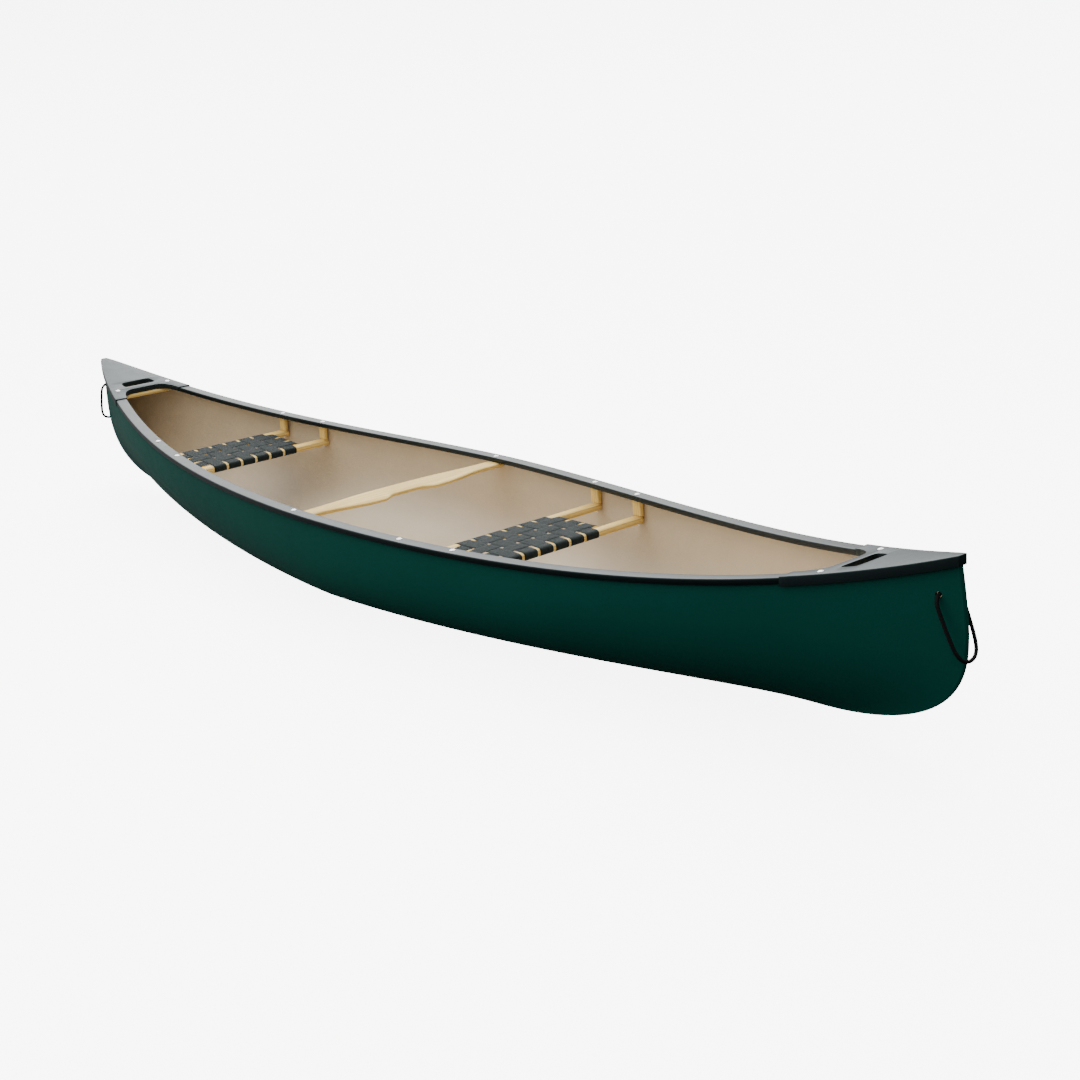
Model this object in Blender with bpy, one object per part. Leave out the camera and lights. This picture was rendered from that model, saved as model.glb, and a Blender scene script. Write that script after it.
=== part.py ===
"""Two-seat recreational canoe.

Metres. +X runs towards the bow, +Y to port, +Z up. The origin is on the ground under
the middle of the hull. Bow and stern are mirror images of each other.
"""

import math

import bmesh
import bpy
import numpy as np
from mathutils import Matrix, Vector

# Fit between separate pieces, and how far a cutting solid reaches past its target
GAP = 0.0003
SHIM = 0.0005
CUT_MARGIN = 0.020
BORE_REACH = 0.100

# Hull
HALF_LENGTH = 2.239
HULL_HALF_BEAM = 0.4375
STEM_HALF_WIDTH = 0.006
CENTRE_DEPTH = 0.335
SHEER_RISE = 0.195
RIM_BELOW_GUNWALE = 0.0035
KEEL_RISE = 0.035
KEEL_FLAT = 0.075
WALL = 0.006
STEM_REACH = 2.261
STEM_FOOT_X = 1.66
STEM_ROUNDNESS = 2.6
SECTION_MID = 3.95
SECTION_END = 1.06
BOTTOM_FLAT_RISE = 0.0018
SIDE_STEPS = 12
CAVITY_END = 2.213
INNER_SAMPLES = 70
INNER_LOW_ANGLE = 0.04
PROBE_STEP = 0.004
PROBE_ANGLE = 0.02

# Gunwale: offsets are measured outwards from the hull's outer face
GUNWALE_END = 2.08
LIP_OUT = 0.008
LIP_IN = -0.036
LIP_DEPTH = 0.018
LEG_DEPTH = 0.017
WEB = 0.0032
LEG = 0.0025
BOLT_OFFSET = -0.018
INSERT_DEPTH = 0.0125
INSERT_WALL = 0.002

# Deck plates
DECK_START = 1.82
DECK_NOSE = 2.2465
DECK_THICK = 0.003
DECK_EDGE = 0.0012
DECK_NOSE_ROUND = 0.0060
DECK_SKIRT = 0.0022
DECK_SKIRT_DEPTH = 0.024
DECK_LIP_DEPTH = 0.016
HANDLE_X = 1.898
SLOT_X = (1.929, 1.977)
SLOT_HALF = 0.069
DECK_BOLT_X = 1.908

# Wood
RAIL_WIDTH = 0.038
RAIL_HEIGHT = 0.025
RAIL_DROP = 0.070
RAIL_END_OFFSET = -0.0105
BAR_END_OFFSET = -0.0085
BAR_CHAMFER = 0.004
SIDE_BAR_Y = 0.200
SIDE_BAR_WIDTH = 0.030
SIDE_BAR_HEIGHT = 0.022
SIDE_BAR_CHAMFER = 0.003
DROP_WIDTH = 0.038
DROP_DEPTH = 0.0145
DROP_CHAMFER = 0.002
DROP_CLEARANCE = 0.0007
THWART_WIDTH = 0.038
THWART_HEIGHT = 0.018
YOKE_X = -0.065
YOKE_HEIGHT = 0.020
YOKE_CHAMFER = 0.005

# Seats: x of the front and rear rail
BOW_SEAT = (0.723, 0.492)
STERN_SEAT = (-1.038, -1.263)
STRAP = 0.052
STRAP_GAP = 0.0098
CROSS_GAP = 0.0135
WEBBING = 0.003
WRAP = 0.016

# Fasteners
BOLT_RADIUS = 0.003
BORE_RADIUS = 0.0033
HEAD_RADIUS = 0.009
HEAD_HEIGHT = 0.0045
NUT_RADIUS = 0.0066
NUT_BORE = 0.0040
NUT_HEIGHT = 0.006
BOLT_TAIL = 0.002

# Grab loops
ROPE_RADIUS = 0.005
ROPE_HOLE_RADIUS = 0.0078
LOOP_X = 2.198
LOOP_Z = 0.433
LOOP_TILT = math.radians(23.0)
LOOP_ROUTE = [
    (0.0175, -0.0032),
    (0.0285, 0.0000),
    (0.0388, 0.0062),
    (0.0452, 0.0160),
    (0.0478, 0.0300),
    (0.0474, 0.0570),
    (0.0458, 0.0910),
    (0.0428, 0.1240),
    (0.0378, 0.1460),
    (0.0288, 0.1615),
    (0.0156, 0.1705),
    (0.0000, 0.1735),
]
KNOT_HALF = 0.0115
KNOT_RADIUS = 0.0105
KNOT_LIFT = 0.0048

# Looks: base colour, roughness, metallic
GREEN_HULL = ((0.010, 0.070, 0.052), 0.38, 0.0)
BLACK_VINYL = ((0.022, 0.024, 0.025), 0.42, 0.0)
BLACK_PLASTIC = ((0.026, 0.028, 0.030), 0.50, 0.0)
ALUMINIUM = ((0.62, 0.63, 0.65), 0.35, 1.0)
ASH_WOOD = ((0.76, 0.56, 0.27), 0.45, 0.0)
BLACK_WEB = ((0.022, 0.027, 0.027), 0.85, 0.0)
STEEL = ((0.66, 0.66, 0.67), 0.28, 1.0)
BLACK_ROPE = ((0.010, 0.010, 0.011), 0.90, 0.0)

MID_STATIONS = [0.15 * i for i in range(13)]
END_STATIONS = [1.90, 2.00, 2.08, 2.15, 2.185, CAVITY_END, 2.228, HALF_LENGTH]
STATIONS = MID_STATIONS + END_STATIONS
SIDES = (("port", 1.0), ("starboard", -1.0))
ENDS = (("bow", 1.0), ("stern", -1.0))


# ---------------------------------------------------------------- shape laws


def beam_law(x):
    u = min(abs(x) / HALF_LENGTH, 1.0)
    swell = (1.0 - u**1.743) ** 0.868
    return STEM_HALF_WIDTH + (HULL_HALF_BEAM - STEM_HALF_WIDTH) * swell


def sheer_law(x):
    return CENTRE_DEPTH + SHEER_RISE * (abs(x) / HALF_LENGTH) ** 3.33


STATION_BEAM = [beam_law(x) for x in STATIONS]
STATION_SHEER = [sheer_law(x) for x in STATIONS]


def station_flare():
    """Length of the plan outline per metre of x, at each station."""
    flare = []
    for i in range(len(STATIONS)):
        low = max(i - 1, 0)
        high = min(i + 1, len(STATIONS) - 1)
        run = STATIONS[high] - STATIONS[low]
        drop = STATION_BEAM[high] - STATION_BEAM[low]
        flare.append(math.hypot(run, drop) / run if i else 1.0)
    return flare


STATION_FLARE = station_flare()


def rim(x):
    """Half-breadth of the hull's outer face at the rim."""
    return float(np.interp(abs(x), STATIONS, STATION_BEAM))


def sheer(x):
    """Height of the gunwale's top."""
    reach = abs(x)
    if reach <= HALF_LENGTH:
        return float(np.interp(reach, STATIONS, STATION_SHEER))
    slope = (STATION_SHEER[-1] - STATION_SHEER[-2]) / (STATIONS[-1] - STATIONS[-2])
    return STATION_SHEER[-1] + slope * (reach - HALF_LENGTH)


def abeam(x, offset):
    """Half-breadth at a distance outside the hull's outer face."""
    return rim(x) + offset * float(np.interp(abs(x), STATIONS, STATION_FLARE))


def sheer_pitch(x):
    """Slope angle of the gunwale's top at x, positive when it climbs towards +X."""
    step = 0.01
    return math.atan2(sheer(x + step) - sheer(x - step), 2.0 * step)


def stem_x(height):
    """How far the stem's edge reaches at a height at the very end."""
    top = CENTRE_DEPTH + SHEER_RISE - RIM_BELOW_GUNWALE
    if height < CENTRE_DEPTH:
        fall = (CENTRE_DEPTH - height) / (CENTRE_DEPTH - KEEL_RISE)
        curve = (1.0 - min(fall, 1.0) ** STEM_ROUNDNESS) ** (1.0 / STEM_ROUNDNESS)
        return STEM_FOOT_X + (STEM_REACH - STEM_FOOT_X) * curve
    climb = min((height - CENTRE_DEPTH) / (top - CENTRE_DEPTH), 1.0)
    return STEM_REACH - (STEM_REACH - HALF_LENGTH) * climb**1.5


def hull_point(x, angle):
    """Outer skin on the port side: angle 0 is the keel and a right angle the rim."""
    s = x / HALF_LENGTH
    u = min(abs(s), 1.0)
    fullness = SECTION_END + (SECTION_MID - SECTION_END) * (1.0 - u**1.12) ** 0.87
    climb = 1.0 - max(math.cos(angle), 0.0) ** (2.0 / fullness)
    spread = max(math.sin(angle), 0.0) ** (2.0 / fullness)
    stem = (1.0 - (1.0 - climb) ** 4) ** 0.25
    y = (beam_law(x) - STEM_HALF_WIDTH) * spread + STEM_HALF_WIDTH * stem
    keel = KEEL_RISE * max(0.0, (u - KEEL_FLAT) / (1.0 - KEEL_FLAT)) ** 2
    height = sheer_law(x) - RIM_BELOW_GUNWALE - keel
    top_end = CENTRE_DEPTH + SHEER_RISE - RIM_BELOW_GUNWALE
    stem_height = KEEL_RISE + (top_end - KEEL_RISE) * climb
    lift = max(0.0, height * climb - BOTTOM_FLAT_RISE)
    z = keel + lift * height / (height - BOTTOM_FLAT_RISE)
    return Vector((s * stem_x(stem_height), y, z))


def skin_normal(x, angle):
    """Unit normal of the port skin, pointing into the boat."""
    back = hull_point(x - PROBE_STEP, angle)
    fore = hull_point(x + PROBE_STEP, angle)
    low = hull_point(x, angle - PROBE_ANGLE)
    high = hull_point(x, angle)
    return (fore - back).cross(high - low).normalized()


def outer_ring(x):
    angles = [0.5 * math.pi * k / SIDE_STEPS for k in range(SIDE_STEPS + 1)]
    return [hull_point(x, a) for a in angles]


def inner_ring(x):
    """Inner skin one wall thickness inside the outer ring, keel first."""
    line = []
    for k in range(INNER_SAMPLES):
        share = k / (INNER_SAMPLES - 1.0)
        angle = 0.5 * math.pi + (INNER_LOW_ANGLE - 0.5 * math.pi) * share
        point = hull_point(x, angle)
        n = skin_normal(x, angle)
        shift = Vector((0.0, n.y, n.z)) / (n.y**2 + n.z**2)
        point = point + shift * WALL
        if k == 0:
            point.z = sheer_law(x) - RIM_BELOW_GUNWALE
        if point.y <= 0.0:
            last = line[-1]
            point = last.lerp(point, last.y / (last.y - point.y))
            point.y = 0.0
            line.append(point)
            break
        line.append(point)
    if line[-1].y > 0.0:
        line.append(Vector((line[-1].x, 0.0, line[-1].z)))
    line.reverse()
    shares = arc_shares(outer_ring(x))
    here = arc_shares(line)
    return [
        Vector([float(np.interp(s, here, [p[axis] for p in line])) for axis in range(3)])
        for s in shares
    ]


def arc_shares(points):
    steps = [0.0]
    for a, b in zip(points, points[1:]):
        steps.append(steps[-1] + (b - a).length)
    return [s / steps[-1] for s in steps]


# ---------------------------------------------------------------- mesh helpers


def clear_scene():
    for item in list(bpy.data.objects):
        bpy.data.objects.remove(item, do_unlink=True)


def make_look(name, look):
    colour, roughness, metallic = look
    material = bpy.data.materials.new(name)
    material.use_nodes = True
    shader = material.node_tree.nodes["Principled BSDF"]
    shader.inputs["Base Color"].default_value = (*colour, 1.0)
    shader.inputs["Roughness"].default_value = roughness
    shader.inputs["Metallic"].default_value = metallic
    return material


def link_object(name, data, look=None):
    item = bpy.data.objects.new(name, data)
    bpy.context.scene.collection.objects.link(item)
    if look is not None:
        data.materials.clear()
        data.materials.append(make_look(name, look))
    return item


def mesh_object(name, points, faces, look=None):
    mesh = bpy.data.meshes.new(name)
    mesh.from_pydata([tuple(p) for p in points], [], faces)
    shell = bmesh.new()
    shell.from_mesh(mesh)
    bmesh.ops.recalc_face_normals(shell, faces=shell.faces)
    shell.to_mesh(mesh)
    shell.free()
    return link_object(name, mesh, look)


def loft(name, rings, look=None):
    """Closed solid through equal rings of points, with a flat cap at each end."""
    count = len(rings[0])
    points = [p for ring in rings for p in ring]
    faces = []
    for i in range(len(rings) - 1):
        for k in range(count):
            a = i * count + k
            b = i * count + (k + 1) % count
            faces.append((a, b, b + count, a + count))
    faces.append(tuple(range(count)))
    faces.append(tuple(range(len(points) - count, len(points))))
    return mesh_object(name, points, faces, look)


def prism(name, outline, low, high, look=None):
    """Upright solid over a plan outline."""
    rings = [[(x, y, z) for x, y in outline] for z in (low, high)]
    return loft(name, rings, look)


def turned(name, profile, segments, look=None):
    """Solid of revolution about Z from (radius, height) points, open or with poles."""
    shape = bmesh.new()
    rings = []
    for radius, height in profile:
        if radius == 0.0:
            rings.append([shape.verts.new((0.0, 0.0, height))])
            continue
        ring = []
        for k in range(segments):
            turn = 2.0 * math.pi * (k + 0.5) / segments
            place = (radius * math.cos(turn), radius * math.sin(turn), height)
            ring.append(shape.verts.new(place))
        rings.append(ring)
    closed = len(rings[0]) > 1
    pairs = list(zip(rings, rings[1:]))
    if closed:
        pairs.append((rings[-1], rings[0]))
    for upper, lower in pairs:
        for k in range(segments):
            m = (k + 1) % segments
            corners = [upper[k % len(upper)], upper[m % len(upper)]]
            corners += [lower[m % len(lower)], lower[k % len(lower)]]
            shape.faces.new(list(dict.fromkeys(corners)))
    bmesh.ops.recalc_face_normals(shape, faces=shape.faces)
    mesh = bpy.data.meshes.new(name)
    shape.to_mesh(mesh)
    shape.free()
    return link_object(name, mesh, look)


def combine(target, tool, operation):
    """Boolean of the target with a tool solid; the tool is used up."""
    modifier = target.modifiers.new(operation.lower(), "BOOLEAN")
    modifier.operation = operation
    modifier.solver = "EXACT"
    modifier.object = tool
    bpy.context.view_layer.update()
    graph = bpy.context.evaluated_depsgraph_get()
    mesh = bpy.data.meshes.new_from_object(target.evaluated_get(graph))
    target.modifiers.clear()
    target.data = mesh
    bpy.data.objects.remove(tool, do_unlink=True)
    shape = bmesh.new()
    shape.from_mesh(mesh)
    bmesh.ops.remove_doubles(shape, verts=shape.verts, dist=0.00005)
    shape.to_mesh(mesh)
    shape.free()


def merge_tools(tools):
    """One object holding several separate cutting solids."""
    shape = bmesh.new()
    for tool in tools:
        bpy.context.view_layer.update()
        copy = tool.data.copy()
        copy.transform(tool.matrix_world)
        shape.from_mesh(copy)
        bpy.data.objects.remove(tool, do_unlink=True)
    mesh = bpy.data.meshes.new("tool")
    shape.to_mesh(mesh)
    shape.free()
    return link_object("tool", mesh)


def rod(base, direction, radius, length, segments=10):
    """Cutting cylinder centred on base."""
    half = 0.5 * length
    item = turned("tool", [(0.0, half), (radius, half), (radius, -half), (0.0, -half)], segments)
    turn = Vector((0.0, 0.0, 1.0)).rotation_difference(Vector(direction)).to_matrix()
    item.matrix_world = Matrix.Translation(Vector(base)) @ turn.to_4x4()
    return item


def place(item, where, pitch=0.0):
    """Put an object at a point, its own X axis climbing by the pitch angle."""
    item.location = where
    item.rotation_euler = (0.0, -pitch, 0.0)
    return item


def rounded(item, angle=35.0):
    item.data.shade_smooth()
    item.data.set_sharp_from_angle(angle=math.radians(angle))
    return item


# ---------------------------------------------------------------- hull


def build_hull():
    stations = [-x for x in reversed(STATIONS[1:])] + STATIONS
    cavity = [x for x in stations if abs(x) <= CAVITY_END]
    first = stations.index(cavity[0])
    width = 2 * SIDE_STEPS + 1
    points = []

    def add_ring(ring):
        start = len(points)
        points.extend(ring[::-1])
        points.extend(Vector((p.x, -p.y, p.z)) for p in ring[1:])
        return start

    outer = [add_ring(outer_ring(x)) for x in stations]
    inner = [add_ring(inner_ring(x)) for x in cavity]
    faces = []
    for rings in (outer, inner):
        for a, b in zip(rings, rings[1:]):
            faces += [(a + k, a + k + 1, b + k + 1, b + k) for k in range(width - 1)]
    for start in (outer[0], outer[-1], inner[0], inner[-1]):
        for k in range(SIDE_STEPS - 1):
            other = width - 1 - k
            faces.append((start + k, start + k + 1, start + other - 1, start + other))
        keel = start + SIDE_STEPS
        faces.append((keel - 1, keel, keel + 1))
    for i in range(len(cavity) - 1):
        a, b = outer[first + i], outer[first + i + 1]
        c, d = inner[i], inner[i + 1]
        faces.append((a, b, d, c))
        last = width - 1
        faces.append((a + last, b + last, d + last, c + last))
    last = width - 1
    for step, edge in ((-1, 0), (1, len(cavity) - 1)):
        here = outer[first + edge]
        after = outer[first + edge + step]
        inside = inner[edge]
        faces.append((here, after, after + last, here + last, inside + last, inside))
        walk = first + edge + step
        while 0 <= walk + step < len(stations):
            a, b = outer[walk], outer[walk + step]
            faces.append((a, b, b + last, a + last))
            walk += step
    hull = mesh_object("hull_shell", points, faces, GREEN_HULL)
    for _, end in ENDS:
        tool = rod((end * LOOP_X, 0.0, LOOP_Z), (0, 1, 0), ROPE_HOLE_RADIUS, BORE_REACH, 12)
        combine(hull, tool, "DIFFERENCE")
    rounded(hull, 30.0)


# ---------------------------------------------------------------- gunwales


def gunwale_profile():
    slot_in = -(WALL + GAP)
    leg_in = slot_in - LEG
    return [
        (LIP_OUT, -LIP_DEPTH),
        (LIP_OUT, -0.002),
        (LIP_OUT - 0.0015, 0.0),
        (LIP_IN + 0.0015, 0.0),
        (LIP_IN, -0.0015),
        (LIP_IN, -LEG_DEPTH),
        (LIP_IN + LEG, -LEG_DEPTH),
        (LIP_IN + LEG, -WEB),
        (leg_in, -WEB),
        (leg_in, -LEG_DEPTH),
        (slot_in, -LEG_DEPTH),
        (slot_in, -WEB),
        (GAP, -WEB),
        (GAP, -LIP_DEPTH),
    ]


def insert_profile():
    out = -(WALL + GAP) - LEG - GAP
    far = LIP_IN + LEG + GAP
    top = -WEB - GAP
    low = top - INSERT_DEPTH
    return [
        (out, low),
        (out, top),
        (far, top),
        (far, low),
        (far + INSERT_WALL, low),
        (far + INSERT_WALL, top - INSERT_WALL),
        (out - INSERT_WALL, top - INSERT_WALL),
        (out - INSERT_WALL, low),
    ]


def along_gunwale(name, profile, side, look, end):
    reach = [x for x in STATIONS if x < end - 0.001] + [end]
    line = [-x for x in reversed(reach[1:])] + reach
    rings = []
    for x in line:
        rings.append([(x, side * abeam(x, o), sheer(x) + z) for o, z in profile])
    return loft(name, rings, look)


def bolt_places():
    """Every bolt through the gunwales: name, x, pitch, top of the head's seat."""
    seats = (("bow_seat", BOW_SEAT), ("stern_seat", STERN_SEAT))
    places = []
    for label, rails in seats:
        pitch = seat_pitch(rails)
        for rail, x in zip(("front", "rear"), rails):
            places.append((f"{label}_{rail}", x, pitch, GAP))
    places.append(("yoke", YOKE_X, 0.0, GAP))
    for label, end in ENDS:
        x = end * DECK_BOLT_X
        places.append((f"{label}_deck", x, sheer_pitch(x), 2.0 * GAP + DECK_THICK))
    return places


def bolt_axis(pitch):
    return Vector((-math.sin(pitch), 0.0, math.cos(pitch)))


def bolt_base(x, side):
    """Where a bolt's axis crosses the gunwale's top."""
    return Vector((x, side * abeam(x, BOLT_OFFSET), sheer(x)))


def bore_tools(x, pitch, sides=(1.0, -1.0)):
    return [rod(bolt_base(x, s), bolt_axis(pitch), BORE_RADIUS, BORE_REACH) for s in sides]


def build_gunwales():
    for label, side in SIDES:
        rail = along_gunwale(
            f"gunwale_{label}", gunwale_profile(), side, BLACK_VINYL, GUNWALE_END
        )
        bar = along_gunwale(
            f"gunwale_insert_{label}", insert_profile(), side, ALUMINIUM, GUNWALE_END
        )
        for item in (rail, bar):
            tools = []
            for _, x, pitch, _ in bolt_places():
                tools += bore_tools(x, pitch, (side,))
            combine(item, merge_tools(tools), "DIFFERENCE")


# ---------------------------------------------------------------- deck plates


def cockpit_edge(end):
    """Plan of the deck plate's inner edge, from one arm round to the other."""
    arm = [(x, abeam(x, LIP_IN - GAP - LEG)) for x in (1.800, 1.830, 1.846)]
    corner_y = arm[-1][1]
    half = [
        *arm,
        (1.866, corner_y - 0.011),
        (1.884, corner_y - 0.025),
        (1.895, corner_y - 0.042),
        (HANDLE_X, corner_y - 0.060),
    ]
    full = half + [(x, -y) for x, y in reversed(half)]
    return [(end * x, y) for x, y in full]


def offset_plan(line, distance):
    """A plan polyline moved sideways, to its left."""
    moved = []
    for i, (x, y) in enumerate(line):
        before = line[max(i - 1, 0)]
        after = line[min(i + 1, len(line) - 1)]
        run = Vector((after[0] - before[0], after[1] - before[1])).normalized()
        moved.append((x - run.y * distance, y + run.x * distance))
    return moved


def deck_lip(end):
    """Upright band that hangs from the deck plate's inner edge."""
    arm_x = DECK_START + 0.004
    arm_y = abeam(arm_x, LIP_IN - GAP - LEG)
    line = [(end * arm_x, arm_y), *cockpit_edge(end)[1:-1], (end * arm_x, -arm_y)]
    a = offset_plan(line, -0.001 * end)
    b = offset_plan(line, LEG * end)
    rings = []
    for p, q in zip(a, b):
        low = -DECK_LIP_DEPTH
        high = GAP + 0.5 * DECK_THICK
        rings.append(
            [
                (*p, sheer(p[0]) + low),
                (*p, sheer(p[0]) + high),
                (*q, sheer(q[0]) + high),
                (*q, sheer(q[0]) + low),
            ]
        )
    return loft("tool", rings)


def slot_plan(end):
    rear, front = SLOT_X
    half = [
        (rear, SLOT_HALF - 0.009),
        (rear + 0.004, SLOT_HALF - 0.002),
        (rear + 0.012, SLOT_HALF),
        (front - 0.012, SLOT_HALF - 0.005),
        (front - 0.003, SLOT_HALF - 0.010),
        (front, SLOT_HALF - 0.020),
    ]
    full = half + [(x, -y) for x, y in reversed(half)]
    return [(end * x, y) for x, y in full]


def build_deck(label, end):
    reach = [DECK_START] + [x for x in STATIONS if x > DECK_START + 0.01]
    nose = [DECK_NOSE - 0.3 * DECK_NOSE_ROUND, DECK_NOSE]
    outer_rings = []
    hollow_rings = []
    for x in reach + nose:
        deep = max(x - DECK_NOSE + DECK_NOSE_ROUND, 0.0)
        corner = DECK_NOSE_ROUND - math.sqrt(DECK_NOSE_ROUND**2 - deep**2)
        half = abeam(min(x, HALF_LENGTH), LIP_OUT + GAP + DECK_SKIRT) - corner
        top = sheer(x) + GAP + DECK_THICK
        low = sheer(x) - DECK_SKIRT_DEPTH
        outer_rings.append(
            [
                (end * x, half, low),
                (end * x, half, top - DECK_EDGE),
                (end * x, half - DECK_EDGE, top),
                (end * x, -half + DECK_EDGE, top),
                (end * x, -half, top - DECK_EDGE),
                (end * x, -half, low),
            ]
        )
    for x in [DECK_START - CUT_MARGIN] + reach + [DECK_NOSE - DECK_THICK]:
        inset = DECK_SKIRT if x > HALF_LENGTH else 0.0
        half = abeam(min(x, HALF_LENGTH), LIP_OUT + GAP) - inset
        top = sheer(x) + GAP
        low = sheer(x) - DECK_SKIRT_DEPTH - CUT_MARGIN
        hollow_rings.append(
            [(end * x, half, low), (end * x, half, top), (end * x, -half, top), (end * x, -half, low)]
        )
    if end < 0.0:
        outer_rings.reverse()
        hollow_rings.reverse()
    deck = loft(f"{label}_deck_plate", outer_rings, BLACK_PLASTIC)
    combine(deck, loft("tool", hollow_rings), "DIFFERENCE")
    combine(deck, deck_lip(end), "UNION")
    low = CENTRE_DEPTH
    high = CENTRE_DEPTH + SHEER_RISE + CUT_MARGIN
    combine(deck, prism("tool", cockpit_edge(end), low, high), "DIFFERENCE")
    combine(deck, prism("tool", slot_plan(end), low, high), "DIFFERENCE")
    x = end * DECK_BOLT_X
    combine(deck, merge_tools(bore_tools(x, sheer_pitch(x))), "DIFFERENCE")
    rounded(deck, 25.0)


# ---------------------------------------------------------------- wooden parts


def bar_section(width, height, chamfer):
    """Chamfered bar in the X-Z plane, top at z = 0."""
    w = 0.5 * width
    c = chamfer
    return [
        (-w, -c),
        (-w + c, 0.0),
        (w - c, 0.0),
        (w, -c),
        (w, -height + c),
        (w - c, -height),
        (-w + c, -height),
        (-w, -height + c),
    ]


def cross_bar(name, x, top, pitch, width, height, end_offset):
    """Bar across the boat whose ends follow the hull, bored for its two bolts."""
    section = bar_section(width, height, BAR_CHAMFER)
    rings = []
    for side in (-1.0, 1.0):
        ring = []
        for px, pz in section:
            reach = abeam(x + px * math.cos(pitch), end_offset)
            ring.append((px, side * reach, pz))
        rings.append(ring)
    bar = loft(name, rings, ASH_WOOD)
    place(bar, top, pitch)
    across = abeam(x, BOLT_OFFSET)
    tools = []
    for side in (-1.0, 1.0):
        tool = rod((0.0, 0.0, 0.0), (0, 0, 1), BORE_RADIUS, BORE_REACH)
        shift = Matrix.Translation((0.0, side * across, 0.0))
        tool.matrix_world = Matrix.Translation(top) @ pitch_turn(pitch) @ shift
        tools.append(tool)
    combine(bar, merge_tools(tools), "DIFFERENCE")
    return rounded(bar, 50.0)


def pitch_turn(pitch):
    return Matrix.Rotation(-pitch, 4, "Y")


def seat_pitch(rails):
    front, rear = rails
    return math.atan2(sheer(front) - sheer(rear), front - rear)


def rail_top(x, pitch):
    """Middle of a seat rail's top face, on its bolts' axis plane."""
    return Vector((x, 0.0, sheer(x))) - bolt_axis(pitch) * RAIL_DROP


def build_seat(label, rails):
    pitch = seat_pitch(rails)
    tops = [rail_top(x, pitch) for x in rails]
    for rail, x, top in zip(("front", "rear"), rails, tops):
        cross_bar(
            f"{label}_seat_{rail}_rail",
            x,
            top,
            pitch,
            RAIL_WIDTH,
            RAIL_HEIGHT,
            RAIL_END_OFFSET,
        )
    centre = (tops[0] + tops[1]) * 0.5
    span = (tops[0] - tops[1]).length
    half = 0.5 * span - 0.5 * RAIL_WIDTH - GAP
    for side_label, side in SIDES:
        section = bar_section(SIDE_BAR_WIDTH, SIDE_BAR_HEIGHT, SIDE_BAR_CHAMFER)
        rings = [
            [(end, side * SIDE_BAR_Y + q, z - SHIM) for q, z in section] for end in (-half, half)
        ]
        bar = loft(f"{label}_seat_side_bar_{side_label}", rings, ASH_WOOD)
        place(bar, centre, pitch)
        rounded(bar, 50.0)
    build_webbing(label, centre, pitch, span)
    for rail, x in zip(("front", "rear"), rails):
        build_drops(f"{label}_seat_{rail}_drop", x, pitch)


def build_drops(name, x, pitch):
    """Square wooden spacers between the gunwale and the seat rail."""
    under = LEG_DEPTH + GAP + DROP_CLEARANCE
    length = RAIL_DROP - under - GAP
    outline = bar_section(DROP_WIDTH, DROP_DEPTH, DROP_CHAMFER)
    section = [(px, pz + 0.5 * DROP_DEPTH) for px, pz in outline]
    for label, side in SIDES:
        drop = prism(f"{name}_{label}", section, -length, 0.0, ASH_WOOD)
        tool = rod((0.0, 0.0, 0.0), (0, 0, 1), BORE_RADIUS, 2.0 * BORE_REACH)
        combine(drop, tool, "DIFFERENCE")
        place(drop, bolt_base(x, side) - bolt_axis(pitch) * under, pitch)
        rounded(drop, 40.0)


def strap_lines(count, width, gap):
    total = count * width + (count - 1) * gap
    starts = [-0.5 * total + i * (width + gap) for i in range(count)]
    return [(s, s + width) for s in starts]


def build_webbing(label, centre, pitch, span):
    """Woven seat sheet: straps both ways, folded over the four bars."""
    low = GAP
    high = GAP + WEBBING
    reach_x = 0.5 * (span + RAIL_WIDTH) + GAP
    reach_y = SIDE_BAR_Y + 0.5 * SIDE_BAR_WIDTH + GAP
    cells = []
    for a, b in strap_lines(6, STRAP, STRAP_GAP):
        cells.append(((-reach_x - WEBBING, a, low), (reach_x + WEBBING, b, high)))
        for side in (-1.0, 1.0):
            edges = sorted((side * reach_x, side * (reach_x + WEBBING)))
            cells.append(((edges[0], a, -WRAP), (edges[1], b, high)))
    for a, b in strap_lines(3, STRAP, CROSS_GAP):
        cells.append(((a, -reach_y - WEBBING, low), (b, reach_y + WEBBING, high)))
        for side in (-1.0, 1.0):
            edges = sorted((side * reach_y, side * (reach_y + WEBBING)))
            cells.append(((a, edges[0], -WRAP), (b, edges[1], high)))
    web = blocks(f"{label}_seat_webbing", cells, BLACK_WEB)
    place(web, centre, pitch)


def blocks(name, cells, look):
    """One closed solid covering a set of aligned boxes."""
    lines = []
    for axis in range(3):
        marks = {round(c[k][axis], 6) for c in cells for k in (0, 1)}
        lines.append(sorted(marks))
    counts = [len(line) - 1 for line in lines]
    solid = np.zeros([n + 2 for n in counts], dtype=bool)
    for low, high in cells:
        spans = []
        for axis in range(3):
            a = lines[axis].index(round(low[axis], 6))
            b = lines[axis].index(round(high[axis], 6))
            spans.append(slice(a + 1, b + 1))
        solid[tuple(spans)] = True
    shape = bmesh.new()
    corners = {}

    def corner(key):
        if key not in corners:
            place_at = [lines[axis][key[axis]] for axis in range(3)]
            corners[key] = shape.verts.new(place_at)
        return corners[key]

    for cell in np.argwhere(solid):
        for axis in range(3):
            for way in (0, 1):
                beside = cell.copy()
                beside[axis] += 2 * way - 1
                if solid[tuple(beside)]:
                    continue
                others = [k for k in range(3) if k != axis]
                ring = []
                for da, db in ((0, 0), (1, 0), (1, 1), (0, 1)):
                    key = [0, 0, 0]
                    key[axis] = int(cell[axis]) - 1 + way
                    key[others[0]] = int(cell[others[0]]) - 1 + da
                    key[others[1]] = int(cell[others[1]]) - 1 + db
                    ring.append(corner(tuple(key)))
                shape.faces.new(ring)
    bmesh.ops.recalc_face_normals(shape, faces=shape.faces)
    mesh = bpy.data.meshes.new(name)
    shape.to_mesh(mesh)
    shape.free()
    return link_object(name, mesh, look)


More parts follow.
